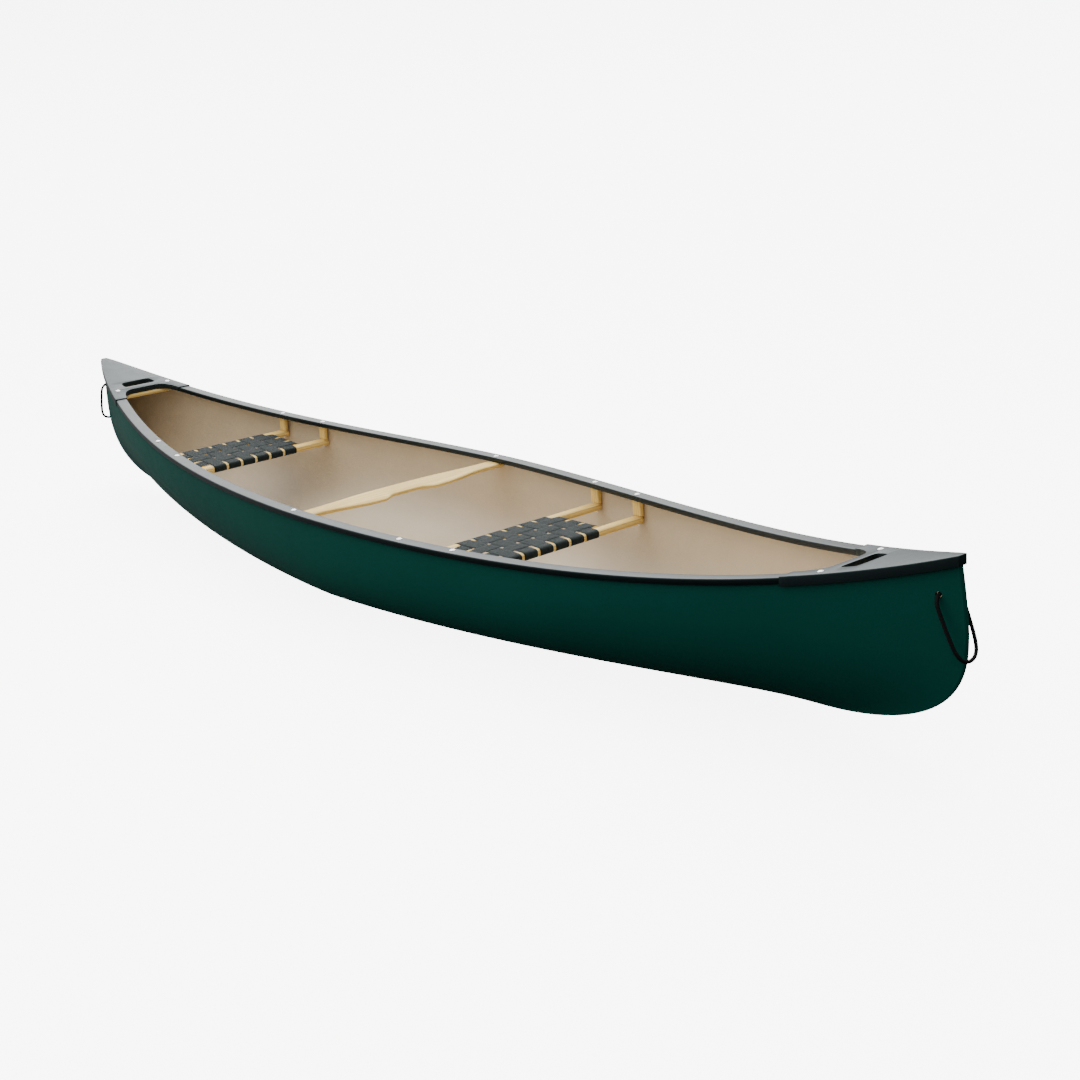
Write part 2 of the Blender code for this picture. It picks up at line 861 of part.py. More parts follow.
def build_thwart(label, end):
    x = end * DECK_BOLT_X
    pitch = sheer_pitch(x)
    top = Vector((x, 0.0, sheer(x))) - bolt_axis(pitch) * (LEG_DEPTH + GAP + SHIM)
    cross_bar(
        f"{label}_deck_thwart",
        x,
        top,
        pitch,
        THWART_WIDTH,
        THWART_HEIGHT,
        BAR_END_OFFSET,
    )


def smooth_step(value, low, high):
    share = min(max((value - low) / (high - low), 0.0), 1.0)
    return share * share * (3.0 - 2.0 * share)


def yoke_front(y):
    """Bow-side edge: neck notch, shoulder swell, then a slim arm."""
    reach = abs(y)
    notch = 0.040 + 0.028 * smooth_step(reach, 0.050, 0.105)
    return notch - 0.037 * smooth_step(reach, 0.125, 0.345)


def yoke_rear(y):
    return -0.031 - 0.024 * (1.0 - smooth_step(abs(y), 0.10, 0.36))


def build_yoke():
    end = abeam(YOKE_X, BAR_END_OFFSET)
    ys = [0.0, 0.03, 0.055, 0.07, 0.085, 0.10, 0.125, 0.16, 0.20, 0.25, 0.30, 0.35, end]
    line = [-y for y in reversed(ys[1:])] + ys
    rings = []
    for y in line:
        front = yoke_front(y)
        rear = yoke_rear(y)
        c = YOKE_CHAMFER
        h = YOKE_HEIGHT
        rings.append(
            [
                (rear, y, -c),
                (rear + c, y, 0.0),
                (front - c, y, 0.0),
                (front, y, -c),
                (front, y, -h + c),
                (front - c, y, -h),
                (rear + c, y, -h),
                (rear, y, -h + c),
            ]
        )
    yoke = loft("yoke", rings, ASH_WOOD)
    top = Vector((YOKE_X, 0.0, sheer(YOKE_X) - LEG_DEPTH - GAP))
    place(yoke, top)
    tools = []
    for side in (-1.0, 1.0):
        where = (YOKE_X, side * abeam(YOKE_X, BOLT_OFFSET), top.z)
        tools.append(rod(where, (0, 0, 1), BORE_RADIUS, BORE_REACH))
    combine(yoke, merge_tools(tools), "DIFFERENCE")
    rounded(yoke, 50.0)


# ---------------------------------------------------------------- fasteners


def stack_depth(name):
    """Depth of a bolted stack's underside below the gunwale's top."""
    if "seat" in name:
        return RAIL_DROP + RAIL_HEIGHT
    if name == "yoke":
        return LEG_DEPTH + GAP + YOKE_HEIGHT
    return LEG_DEPTH + GAP + SHIM + THWART_HEIGHT


def build_fasteners():
    for name, x, pitch, seat in bolt_places():
        slope = abs(math.tan(sheer_pitch(x) - pitch)) * HEAD_RADIUS
        seat = seat + slope
        under = stack_depth(name) + GAP
        tail = under + NUT_HEIGHT + BOLT_TAIL
        for label, side in SIDES:
            base = bolt_base(x, side)
            profile = [
                (0.0, seat + HEAD_HEIGHT),
                (0.55 * HEAD_RADIUS, seat + 0.80 * HEAD_HEIGHT),
                (HEAD_RADIUS, seat + 0.20 * HEAD_HEIGHT),
                (HEAD_RADIUS, seat),
                (BOLT_RADIUS, seat),
                (BOLT_RADIUS, -tail),
                (0.0, -tail),
            ]
            bolt = turned(f"{name}_bolt_{label}", profile, 10, STEEL)
            rounded(place(bolt, base, pitch), 40.0)
            profile = [
                (NUT_BORE, -under),
                (NUT_RADIUS, -under),
                (NUT_RADIUS, -under - NUT_HEIGHT),
                (NUT_BORE, -under - NUT_HEIGHT),
            ]
            nut = turned(f"{name}_nut_{label}", profile, 6, STEEL)
            place(nut, base, pitch)


# ---------------------------------------------------------------- grab loops


def smooth_line(route, steps):
    """Points along a smooth curve through the route, evenly stepped between its points."""
    line = []
    knots = [Vector(p) for p in route]
    padded = [2.0 * knots[0] - knots[1], *knots, 2.0 * knots[-1] - knots[-2]]
    for a, b, c, d in zip(padded, padded[1:], padded[2:], padded[3:]):
        for k in range(steps):
            t = k / steps
            bend = (2.0 * a - 5.0 * b + 4.0 * c - d) * t**2
            twist = (3.0 * b - 3.0 * c + d - a) * t**3
            line.append(0.5 * (2.0 * b + (c - a) * t + bend + twist))
    line.append(knots[-1])
    return line


def loop_route():
    """Route of a grab loop, as (side, down) in its own plane, knot to knot."""
    half = [(KNOT_HALF + GAP, -KNOT_LIFT), *LOOP_ROUTE]
    return half + [(-side, down) for side, down in reversed(half[:-1])]


def build_grab_loop(label, end):
    full = smooth_line(loop_route(), 2)
    curve = bpy.data.curves.new(f"{label}_grab_loop", "CURVE")
    curve.dimensions = "3D"
    curve.bevel_depth = ROPE_RADIUS
    curve.bevel_resolution = 2
    curve.use_fill_caps = True
    spline = curve.splines.new("POLY")
    spline.points.add(len(full) - 1)
    for point, (side, down) in zip(spline.points, full):
        forward = end * down * math.sin(LOOP_TILT)
        point.co = (forward, side, -down * math.cos(LOOP_TILT), 1.0)
    loop = link_object(f"{label}_grab_loop", curve, BLACK_ROPE)
    place(loop, (end * LOOP_X, 0.0, LOOP_Z))
    profile = []
    for k in range(7):
        turn = math.pi * k / 6.0
        radius = 0.0 if k in (0, 6) else KNOT_RADIUS * math.sin(turn)
        profile.append((radius, KNOT_HALF * math.cos(turn)))
    knot = turned(f"{label}_loop_knot", profile, 10, BLACK_ROPE)
    forward = -end * KNOT_LIFT * math.sin(LOOP_TILT)
    upward = KNOT_LIFT * math.cos(LOOP_TILT)
    knot.location = (end * LOOP_X + forward, 0.0, LOOP_Z + upward)
    knot.rotation_euler = (0.5 * math.pi, 0.0, 0.0)
    rounded(knot, 60.0)


def build():
    clear_scene()
    build_hull()
    build_gunwales()
    for label, end in ENDS:
        build_deck(label, end)
        build_thwart(label, end)
    build_seat("bow", BOW_SEAT)
    build_seat("stern", STERN_SEAT)
    build_yoke()
    build_fasteners()
    for label, end in ENDS:
        build_grab_loop(label, end)


build()
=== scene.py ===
"""Looks of a two-seat recreational canoe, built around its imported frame.

Metres. +X runs towards the bow, +Y to port, +Z up, with the ground at zero.
"""

import math

import bmesh
import bpy
import numpy as np
from mathutils import Matrix, Vector


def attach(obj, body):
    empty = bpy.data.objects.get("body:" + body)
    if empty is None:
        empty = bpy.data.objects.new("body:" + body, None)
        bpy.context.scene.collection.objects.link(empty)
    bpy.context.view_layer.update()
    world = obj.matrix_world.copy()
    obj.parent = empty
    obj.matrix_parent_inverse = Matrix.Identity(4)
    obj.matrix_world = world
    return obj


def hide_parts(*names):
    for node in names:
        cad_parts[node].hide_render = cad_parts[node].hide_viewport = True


GAP = 0.0003
CUT_MARGIN = 0.020
CUT_LENGTH = 0.100

# Hull
HALF_LENGTH = 2.239
HULL_HALF_BEAM = 0.4375
STEM_HALF_WIDTH = 0.006
STEM_ROUND = 0.005
CENTRE_DEPTH = 0.335
SHEER_RISE = 0.195
RIM_BELOW_GUNWALE = 0.0035
KEEL_RISE = 0.035
KEEL_FLAT = 0.075
WALL = 0.006
STEM_REACH = 2.261
STEM_FOOT_X = 1.66
STEM_ROUNDNESS = 2.6
SECTION_MID = 3.95
SECTION_END = 1.06
BOTTOM_FLAT_RISE = 0.0018
CAVITY_END = 2.213
SIDE_STEPS = 48

# Gunwale: offsets are measured outwards from the hull's outer face
GUNWALE_END = 2.08
LIP_OUT = 0.008
LIP_IN = -0.036
LIP_DEPTH = 0.018
LEG_DEPTH = 0.017
WEB = 0.0032
LEG = 0.0025
BOLT_OFFSET = -0.018
INSERT_DEPTH = 0.0125
INSERT_WALL = 0.002

# Deck plates
DECK_START = 1.82
DECK_NOSE = 2.2465
DECK_THICK = 0.003
DECK_SKIRT = 0.0022
DECK_SKIRT_DEPTH = 0.024
DECK_LIP_DEPTH = 0.016
SLOT_RIM = 0.0018
DECK_EDGE = 0.0030
DECK_NOSE_ROUND = 0.0120
DECK_NOSE_INSET = 0.004
HANDLE_X = 1.898
SLOT_X = (1.929, 1.977)
SLOT_HALF = 0.069
DECK_BOLT_X = 1.908

# Wood
RAIL_WIDTH = 0.038
RAIL_HEIGHT = 0.025
RAIL_DROP = 0.070
RAIL_END_OFFSET = -0.0105
BAR_END_OFFSET = -0.0085
BAR_END_ROUND = 0.0012
BAR_END_SIZE = 0.94
BAR_STEPS = 14
SIDE_BAR_Y = 0.200
SIDE_BAR_WIDTH = 0.030
SIDE_BAR_HEIGHT = 0.022
SHIM = 0.0005
DROP_WIDTH = 0.038
DROP_DEPTH = 0.0145
DROP_CLEARANCE = 0.0007
THWART_WIDTH = 0.038
THWART_HEIGHT = 0.018
YOKE_X = -0.065
YOKE_HEIGHT = 0.020

# Seats: x of the front and rear rail
SEATS = {"bow": (0.723, 0.492), "stern": (-1.038, -1.263)}
STRAP = 0.052
STRAP_GAP = 0.0098
CROSS_GAP = 0.0135
STRAP_THICK = 0.0013

# Fasteners
BOLT_RADIUS = 0.003
BORE_RADIUS = 0.0033
HEAD_RADIUS = 0.009
NUT_RADIUS = 0.0066
NUT_BORE = 0.0040
NUT_HEIGHT = 0.006
NUT_COLLAR = 0.0046
BOLT_TAIL = 0.002

# Grab loops
ROPE_RADIUS = 0.005
ROPE_HOLE_RADIUS = 0.0078
LOOP_X = 2.198
LOOP_Z = 0.433
LOOP_TILT = math.radians(23.0)
LOOP_ROUTE = [
    (0.0175, -0.0032),
    (0.0285, 0.0000),
    (0.0388, 0.0062),
    (0.0452, 0.0160),
    (0.0478, 0.0300),
    (0.0474, 0.0570),
    (0.0458, 0.0910),
    (0.0428, 0.1240),
    (0.0378, 0.1460),
    (0.0288, 0.1615),
    (0.0156, 0.1705),
    (0.0000, 0.1735),
]
KNOT_HALF = 0.0115
KNOT_LIFT = 0.0048
KNOT_TURN = 0.0052
KNOT_STRAND = 0.0027
BRAID_PITCH = 0.030
BRAID_DEPTH = 0.00045

# Studio
FLOOR_PROFILE = ((0.01, 0.0), (12.0, 0.0), (26.0, 0.0), (34.0, 0.8), (40.0, 3.0), (44.0, 9.0))
FLOOR_GLOW = 6.5
LAMP_SIZE = (7.0, 4.0)
LAMP_POWER = 165.0
LAMP_PLACE = (-0.4, -0.3, 4.2)
CAMERA_PLACE = (4.54933, -3.08793, 1.77798)
CAMERA_HEADING = 2.46878
CAMERA_DIP = -0.29545
CAMERA_LEAN = -0.07252
CAMERA_LENS = 56.297

SIDES = (("port", 1.0), ("starboard", -1.0))
ENDS = (("bow", 1.0), ("stern", -1.0))

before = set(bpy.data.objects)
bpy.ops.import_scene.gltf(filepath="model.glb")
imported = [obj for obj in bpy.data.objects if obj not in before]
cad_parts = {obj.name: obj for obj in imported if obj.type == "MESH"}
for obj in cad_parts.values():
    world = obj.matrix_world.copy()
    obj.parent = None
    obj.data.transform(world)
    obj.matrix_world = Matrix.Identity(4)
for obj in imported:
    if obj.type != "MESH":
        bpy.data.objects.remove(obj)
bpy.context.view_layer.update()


# ---------------------------------------------------------------- shape laws


def beam(x):
    """Half-breadth of the hull's outer face at the rim."""
    u = min(abs(x) / HALF_LENGTH, 1.0)
    swell = (1.0 - u**1.743) ** 0.868
    return STEM_HALF_WIDTH + (HULL_HALF_BEAM - STEM_HALF_WIDTH) * swell


def sheer(x):
    """Height of the gunwale's top."""
    return CENTRE_DEPTH + SHEER_RISE * (abs(x) / HALF_LENGTH) ** 3.33


def flare(x):
    """Length of the plan outline per metre of x."""
    low = max(abs(x) - 0.006, 0.0)
    high = min(low + 0.012, HALF_LENGTH)
    return math.hypot(1.0, (beam(high) - beam(low)) / (high - low))


def abeam(x, offset):
    """Half-breadth at a distance outside the hull's outer face."""
    reach = min(abs(x), HALF_LENGTH)
    return beam(reach) + offset * flare(reach - 0.006)


def sheer_pitch(x):
    """Slope angle of the gunwale's top, positive when it climbs towards +X."""
    return math.atan2(sheer(x + 0.01) - sheer(x - 0.01), 0.02)


def stem_x(height):
    """How far the stem's edge reaches at a height at the very end."""
    top = CENTRE_DEPTH + SHEER_RISE - RIM_BELOW_GUNWALE
    if height < CENTRE_DEPTH:
        fall = (CENTRE_DEPTH - height) / (CENTRE_DEPTH - KEEL_RISE)
        curve = (1.0 - min(fall, 1.0) ** STEM_ROUNDNESS) ** (1.0 / STEM_ROUNDNESS)
        return STEM_FOOT_X + (STEM_REACH - STEM_FOOT_X) * curve
    climb = min((height - CENTRE_DEPTH) / (top - CENTRE_DEPTH), 1.0)
    return STEM_REACH - (STEM_REACH - HALF_LENGTH) * climb**1.5


def hull_point(x, angle):
    """Outer skin on the port side: angle 0 is the keel and a right angle the rim."""
    s = x / HALF_LENGTH
    u = min(abs(s), 1.0)
    fullness = SECTION_END + (SECTION_MID - SECTION_END) * (1.0 - u**1.12) ** 0.87
    climb = 1.0 - max(math.cos(angle), 0.0) ** (2.0 / fullness)
    spread = max(math.sin(angle), 0.0) ** (2.0 / fullness)
    stem = (1.0 - (1.0 - climb) ** 4) ** 0.25
    y = (beam(x) - STEM_HALF_WIDTH) * spread + STEM_HALF_WIDTH * stem
    keel = KEEL_RISE * max(0.0, (u - KEEL_FLAT) / (1.0 - KEEL_FLAT)) ** 2
    height = sheer(x) - RIM_BELOW_GUNWALE - keel
    top_end = CENTRE_DEPTH + SHEER_RISE - RIM_BELOW_GUNWALE
    stem_height = KEEL_RISE + (top_end - KEEL_RISE) * climb
    lift = max(0.0, height * climb - BOTTOM_FLAT_RISE)
    z = keel + lift * height / (height - BOTTOM_FLAT_RISE)
    return Vector((s * stem_x(stem_height), y, z))


def skin_normal(x, angle):
    """Unit normal of the port skin, pointing into the boat."""
    run = hull_point(x + 0.004, angle) - hull_point(x - 0.004, angle)
    rise = hull_point(x, angle) - hull_point(x, angle - 0.02)
    return run.cross(rise).normalized()


def arc_shares(points):
    steps = [0.0]
    for a, b in zip(points, points[1:]):
        steps.append(steps[-1] + (b - a).length)
    return [s / steps[-1] for s in steps]


def outer_ring(x):
    angles = [0.5 * math.pi * k / SIDE_STEPS for k in range(SIDE_STEPS + 1)]
    return [hull_point(x, a) for a in angles]


def inner_ring(x):
    """Inner skin one wall thickness inside the outer ring, keel first."""
    line = []
    for k in range(90):
        angle = 0.5 * math.pi - (0.5 * math.pi - 0.04) * k / 89.0
        point = hull_point(x, angle)
        n = skin_normal(x, angle)
        point = point + Vector((0.0, n.y, n.z)) * WALL / (n.y**2 + n.z**2)
        if k == 0:
            point.z = sheer(x) - RIM_BELOW_GUNWALE
        if point.y <= 0.0:
            point = line[-1].lerp(point, line[-1].y / (line[-1].y - point.y))
            line.append(Vector((point.x, 0.0, point.z)))
            break
        line.append(point)
    if line[-1].y > 0.0:
        line.append(Vector((line[-1].x, 0.0, line[-1].z)))
    line.reverse()
    here = arc_shares(line)
    columns = [np.interp(arc_shares(outer_ring(x)), here, [p[a] for p in line]) for a in range(3)]
    return [Vector(p) for p in zip(*columns)]


def spaced(low, high, step):
    count = max(1, round((high - low) / step))
    return [low + (high - low) * k / count for k in range(count + 1)]


# ---------------------------------------------------------------- mesh helpers


def link(name, data, material=None):
    item = bpy.data.objects.new(name, data)
    bpy.context.scene.collection.objects.link(item)
    if material is not None:
        data.materials.append(material)
    return item


def cleaned(mesh, weld=1e-5, outward=True):
    """Weld a mesh's doubled corners and turn its faces outwards, in place."""
    shape = bmesh.new()
    shape.from_mesh(mesh)
    if weld:
        bmesh.ops.remove_doubles(shape, verts=shape.verts, dist=weld)
    if outward:
        bmesh.ops.recalc_face_normals(shape, faces=shape.faces)
    shape.to_mesh(mesh)
    shape.free()
    return mesh


def drawn(name, points, faces):
    mesh = bpy.data.meshes.new(name)
    mesh.from_pydata([tuple(p) for p in points], [], faces)
    return mesh


def solid(name, points, faces, material=None):
    return link(name, cleaned(drawn(name, points, faces)), material)


def tube_faces(rows, count, start=0):
    """Faces of a tube of equal rings of points, with a cap at each end."""
    faces = []
    for i in range(rows - 1):
        for k in range(count):
            a = start + i * count + k
            b = start + i * count + (k + 1) % count
            faces.append((a, b, b + count, a + count))
    last = start + (rows - 1) * count
    return faces + [tuple(range(start, start + count)), tuple(range(last, last + count))]


def loft(name, rings, material=None):
    """Closed solid through equal rings of points, with a cap at each end."""
    points = [p for ring in rings for p in ring]
    return solid(name, points, tube_faces(len(rings), len(rings[0])), material)


def turned(name, profile, segments, material=None):
    """Solid of revolution about Z from (radius, height) points."""
    points = []
    for radius, height in profile:
        for k in range(segments):
            turn = 2.0 * math.pi * (k + 0.5) / segments
            points.append((radius * math.cos(turn), radius * math.sin(turn), height))
    rows = len(profile)
    pairs = [(i, i + 1) for i in range(rows - 1)]
    if profile[0][0] > 0.0:
        pairs.append((rows - 1, 0))
    faces = []
    for i, j in pairs:
        for k in range(segments):
            m = (k + 1) % segments
            faces.append((i * segments + k, i * segments + m, j * segments + m, j * segments + k))
    return solid(name, points, faces, material)


def combine(target, tool, operation="DIFFERENCE"):
    """Boolean of the target with a tool solid; the tool is used up."""
    modifier = target.modifiers.new("cut", "BOOLEAN")
    modifier.operation = operation
    modifier.solver = "EXACT"
    modifier.object = tool
    baked(target)
    bpy.data.objects.remove(tool, do_unlink=True)
    cleaned(target.data, 2e-5, outward=False)


def baked(item):
    bpy.context.view_layer.update()
    graph = bpy.context.evaluated_depsgraph_get()
    mesh = bpy.data.meshes.new_from_object(item.evaluated_get(graph))
    item.modifiers.clear()
    item.data = mesh


def rod(base, direction, radius, length, segments=24):
    """Cutting cylinder centred on base."""
    half = 0.5 * length
    profile = [(0.0, half), (radius, half), (radius, -half), (0.0, -half)]
    item = turned("tool", profile, segments)
    turn = Vector((0.0, 0.0, 1.0)).rotation_difference(Vector(direction)).to_matrix()
    item.data.transform(Matrix.Translation(Vector(base)) @ turn.to_4x4())
    return item


def prism(outline, low, high):
    return loft("tool", [[(x, y, z) for x, y in outline] for z in (low, high)])


def smooth(item, angle=40.0):
    item.data.shade_smooth()
    item.data.set_sharp_from_angle(angle=math.radians(angle))
    return item


def softened(item, width, segments=2, angle=32.0):
    """Small rounded edges all over a solid."""
    edge = item.modifiers.new("edge", "BEVEL")
    edge.width = width
    edge.segments = segments
    edge.limit_method = "ANGLE"
    edge.angle_limit = math.radians(angle)
    edge.use_clamp_overlap = True
    edge.harden_normals = False
    baked(item)
    return smooth(item)


def pitched(where, pitch):
    return Matrix.Translation(Vector(where)) @ Matrix.Rotation(-pitch, 4, "Y")


def ready(item, slot, *nodes, body="canoe"):
    """A finished piece: it stands for CAD nodes and moves with a body."""
    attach(item, body)
    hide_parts(*nodes)
    return item


# ---------------------------------------------------------------- materials


class Tree:
    """Short ways to add nodes to a node tree."""

    def __init__(self, tree):
        self.nodes = tree.nodes
        self.links = tree.links

    def feed(self, socket, value):
        if isinstance(value, bpy.types.NodeSocket):
            self.links.new(value, socket)
        else:
            socket.default_value = value

    def fill(self, node, **inputs):
        """Set a node's named inputs to values, or join them to other nodes."""
        for name, value in inputs.items():
            self.feed(node.inputs[name.replace("_", " ")], value)
        return node

    def add(self, kind, **inputs):
        return self.fill(self.nodes.new("ShaderNode" + kind), **inputs)

    def math(self, operation, a, b=0.0):
        node = self.add("Math")
        node.operation = operation
        self.feed(node.inputs[0], a)
        self.feed(node.inputs[1], b)
        return node.outputs["Value"]

    def span(self, value, low, high, start=0.0, stop=1.0, kind="LINEAR"):
        """A value between start and stop, spread from low to high."""
        node = self.add("MapRange", Value=value, From_Min=start, From_Max=stop)
        node.interpolation_type = kind
        return self.fill(node, To_Min=low, To_Max=high).outputs["Result"]


class Surface(Tree):
    """A Principled material."""

    def __init__(self, name, colour, roughness, metallic=0.0, specular=0.5):
        self.material = bpy.data.materials.new(name)
        self.material.use_nodes = True
        super().__init__(self.material.node_tree)
        self.shader = self.nodes["Principled BSDF"]
        self.fill(self.shader, Base_Color=(*colour, 1.0), Roughness=roughness)
        self.fill(self.shader, Metallic=metallic, Specular_IOR_Level=specular)
        self.material.diffuse_color = (*colour, 1.0)
        coordinates = self.add("TexCoord")
        self.here = coordinates.outputs["Object"]
        self.uv = coordinates.outputs["UV"]

    def mapped(self, scale, source=None):
        return self.add("Mapping", Vector=source or self.here, Scale=scale).outputs["Vector"]

    def noise(self, scale, detail=4.0, rough=0.55, vector=None, distortion=0.0):
        node = self.add("TexNoise", Vector=vector or self.here, Scale=scale, Detail=detail)
        return self.fill(node, Roughness=rough, Distortion=distortion).outputs["Fac"]

    def wave(self, scale, direction, vector, distortion=0.0):
        node = self.add("TexWave", Vector=vector, Scale=scale, Distortion=distortion)
        node.bands_direction = direction
        return self.fill(node, Detail=3.0, Detail_Scale=1.4).outputs["Fac"]

    def ramp(self, value, stops):
        node = self.add("ValToRGB", Fac=value)
        elements = node.color_ramp.elements
        while len(elements) < len(stops):
            elements.new(0.5)
        for element, (position, colour) in zip(elements, stops):
            element.position = position
            element.color = (*colour, 1.0)
        return node.outputs["Color"]

    def drifting(self, colour, value, spread):
        """A colour that gets lighter and darker with a noise value."""
        low, high = tint(colour, 1.0 - spread), tint(colour, 1.0 + spread)
        return self.ramp(value, [(0.3, low), (0.7, high)])

    def mix(self, share, a, b, blend="MIX"):
        node = self.add("Mix")
        node.data_type = "RGBA"
        node.blend_type = blend
        for index, value in ((0, share), (6, a), (7, b)):
            self.feed(node.inputs[index], value)
        return node.outputs[2]

    def colour(self, value):
        self.fill(self.shader, Base_Color=value)

    def roughness(self, value):
        self.fill(self.shader, Roughness=value)

    def bump(self, height, distance, strength=1.0):
        node = self.add("Bump", Distance=distance, Strength=strength, Height=height)
        previous = self.shader.inputs["Normal"].links
        if previous:
            self.fill(node, Normal=previous[0].from_socket)
        self.fill(self.shader, Normal=node.outputs["Normal"])


def tint(colour, factor):
    return tuple(min(1.0, c * factor) for c in colour)


def moulded(name, colour, roughness, specular, sheen, grain, depth):
    """Moulded plastic: faint colour drift, fine grain, uneven gloss and a tinted sheen."""
    s = Surface(name, colour, roughness, specular=specular)
    s.colour(s.drifting(colour, s.noise(3.5, 5.0), 0.12))
    s.roughness(s.span(s.noise(18.0, 6.0), roughness - 0.06, roughness + 0.07))
    s.bump(s.noise(grain, 3.0), depth)
    s.bump(s.noise(40.0, 2.0), 4.0 * depth, 0.4)
    s.fill(s.shader, Specular_Tint=(*sheen, 1.0))
    return s.material


def ash(name, along):
    """Oiled ash: growth rings stretched along the bar, fine pores and a satin finish."""
    pale = (0.84, 0.62, 0.22)
    deep = (0.58, 0.38, 0.10)
    s = Surface(name, pale, 0.50, specular=0.08)
    stretch, fine = ([k if axis == along else 1.0 for axis in "XYZ"] for k in (0.055, 0.012))
    across = "Z" if along != "Z" else "X"
    bands = s.wave(38.0, across, s.mapped(stretch), 5.5)
    drift = s.noise(9.0, 5.0, 0.6, s.mapped(stretch), 0.6)
    pores = s.noise(900.0, 2.0, 0.6, s.mapped(fine))
    rings = s.ramp(bands, [(0.15, tint(deep, 1.15)), (0.55, pale), (0.9, tint(pale, 1.06))])
    body = s.mix(s.span(drift, 0.15, 0.65), rings, (*pale, 1.0))
    flecks = s.ramp(pores, [(0.36, (0.62, 0.52, 0.40)), (0.50, (1.0, 1.0, 1.0))])
    s.colour(s.mix(0.55, body, flecks, "MULTIPLY"))
    s.roughness(s.span(pores, 0.52, 0.36))
    s.bump(pores, 0.00025)
    s.bump(bands, 0.0002, 0.6)
    return s.material


def hull_outside():
    green = (0.0030, 0.079, 0.060)
    s = Surface("hull_green_vinyl", green, 0.42, specular=0.05)
    s.colour(s.drifting(green, s.noise(1.6, 6.0), 0.10))
    s.roughness(s.span(s.noise(30.0, 6.0), 0.36, 0.50))
    s.bump(s.noise(420.0, 3.0), 0.0003)
    s.bump(s.noise(22.0, 2.0), 0.0012, 0.35)
    return s.material


def hull_inside():
    """Tan vinyl, worn a little uneven, with painted shade just round the holes for the rope."""
    tan = (0.56, 0.455, 0.31)
    s = Surface("hull_tan_vinyl", tan, 0.40, specular=0.70)
    drift = s.noise(2.4, 7.0)
    fine = s.noise(160.0, 4.0)
    base = s.ramp(drift, [(0.3, tint(tan, 0.93)), (0.7, tint(tan, 1.05))])
    worn = s.mix(0.5, base, s.ramp(fine, [(0.35, (0.94,) * 3), (0.65, (1.0,) * 3)]), "MULTIPLY")
    # Painted shade: the colour turns near black within 20 mm of each rope hole, standing in for the
    # shadow in the deep ends under the deck.
    place = s.add("SeparateXYZ", Vector=s.here)
    along = s.math("SUBTRACT", s.math("ABSOLUTE", place.outputs["X"]), LOOP_X)
    above = s.math("SUBTRACT", place.outputs["Z"], LOOP_Z)
    squares = [s.math("MULTIPLY", side, side) for side in (along, above)]
    reach = s.math("SQRT", s.math("ADD", *squares))
    s.colour(s.mix(s.math("LESS_THAN", reach, 0.020), worn, (0.004, 0.006, 0.006, 1.0)))
    s.roughness(s.span(s.noise(26.0, 6.0), 0.32, 0.46))
    s.bump(fine, 0.0004)
    s.bump(s.noise(14.0, 2.0), 0.0015, 0.3)
    return s.material


def strap_web():
    """Woven polypropylene webbing: ribs across the strap and a fine chevron."""
    base = (0.011, 0.018, 0.018)
    s = Surface("seat_webbing", base, 0.66, specular=0.10)
    place = s.mapped((1.0, 1.0, 1.0), s.uv)
    ribs = s.wave(220.0, "Y", place)
    cords = s.wave(150.0, "X", place)
    weave = s.math("MULTIPLY", ribs, s.math("ADD", cords, 0.35))
    fuzz = s.noise(1400.0, 3.0)
    tone = s.math("ADD", s.math("MULTIPLY", weave, 0.7), s.math("MULTIPLY", fuzz, 0.5))
    s.colour(s.ramp(tone, [(0.15, tint(base, 0.45)), (0.85, tint(base, 1.7))]))
    s.roughness(s.span(fuzz, 0.60, 0.74))
    s.bump(weave, 0.0004)
    s.bump(fuzz, 0.00012)
    s.fill(s.shader, Sheen_Weight=0.02, Sheen_Roughness=0.5)
    return s.material


def metal(name, colour, roughness, streak):
    s = Surface(name, colour, roughness, metallic=1.0)
    brushed = s.noise(600.0, 3.0, 0.5, s.mapped(streak))
    s.colour(s.ramp(brushed, [(0.3, tint(colour, 0.9)), (0.7, tint(colour, 1.08))]))
    s.roughness(s.span(brushed, roughness - 0.06, roughness + 0.10))
    s.bump(brushed, 0.00005)
    return s.material


def braided():
    base = (0.006, 0.006, 0.0065)
    s = Surface("rope_braid", base, 0.85, specular=0.15)
    fibre = s.noise(2600.0, 3.0)
    s.colour(s.ramp(fibre, [(0.3, tint(base, 0.5)), (0.7, tint(base, 2.0))]))
    s.roughness(s.span(fibre, 0.74, 0.92))
    s.bump(fibre, 0.0002)
    return s.material


GREEN = hull_outside()
TAN = hull_inside()
VINYL = moulded(
    "gunwale_vinyl", (0.006, 0.009, 0.010), 0.33, 0.20, (0.72, 0.97, 1.0), grain=700.0, depth=0.0001
)
PLASTIC = moulded(
    "deck_plastic", (0.011, 0.017, 0.018), 0.40, 0.24, (0.70, 0.96, 1.0), grain=900.0, depth=0.00015
)
ASH_ACROSS = ash("ash_across", "Y")
ASH_ALONG = ash("ash_along", "X")
ASH_UPRIGHT = ash("ash_upright", "Z")
WEBBING = strap_web()
STEEL = metal("stainless_steel", (0.80, 0.80, 0.80), 0.24, (1.0, 1.0, 0.1))
ALUMINIUM = metal("mill_aluminium", (0.72, 0.73, 0.75), 0.36, (0.02, 1.0, 1.0))
ROPE = braided()


# ---------------------------------------------------------------- hull


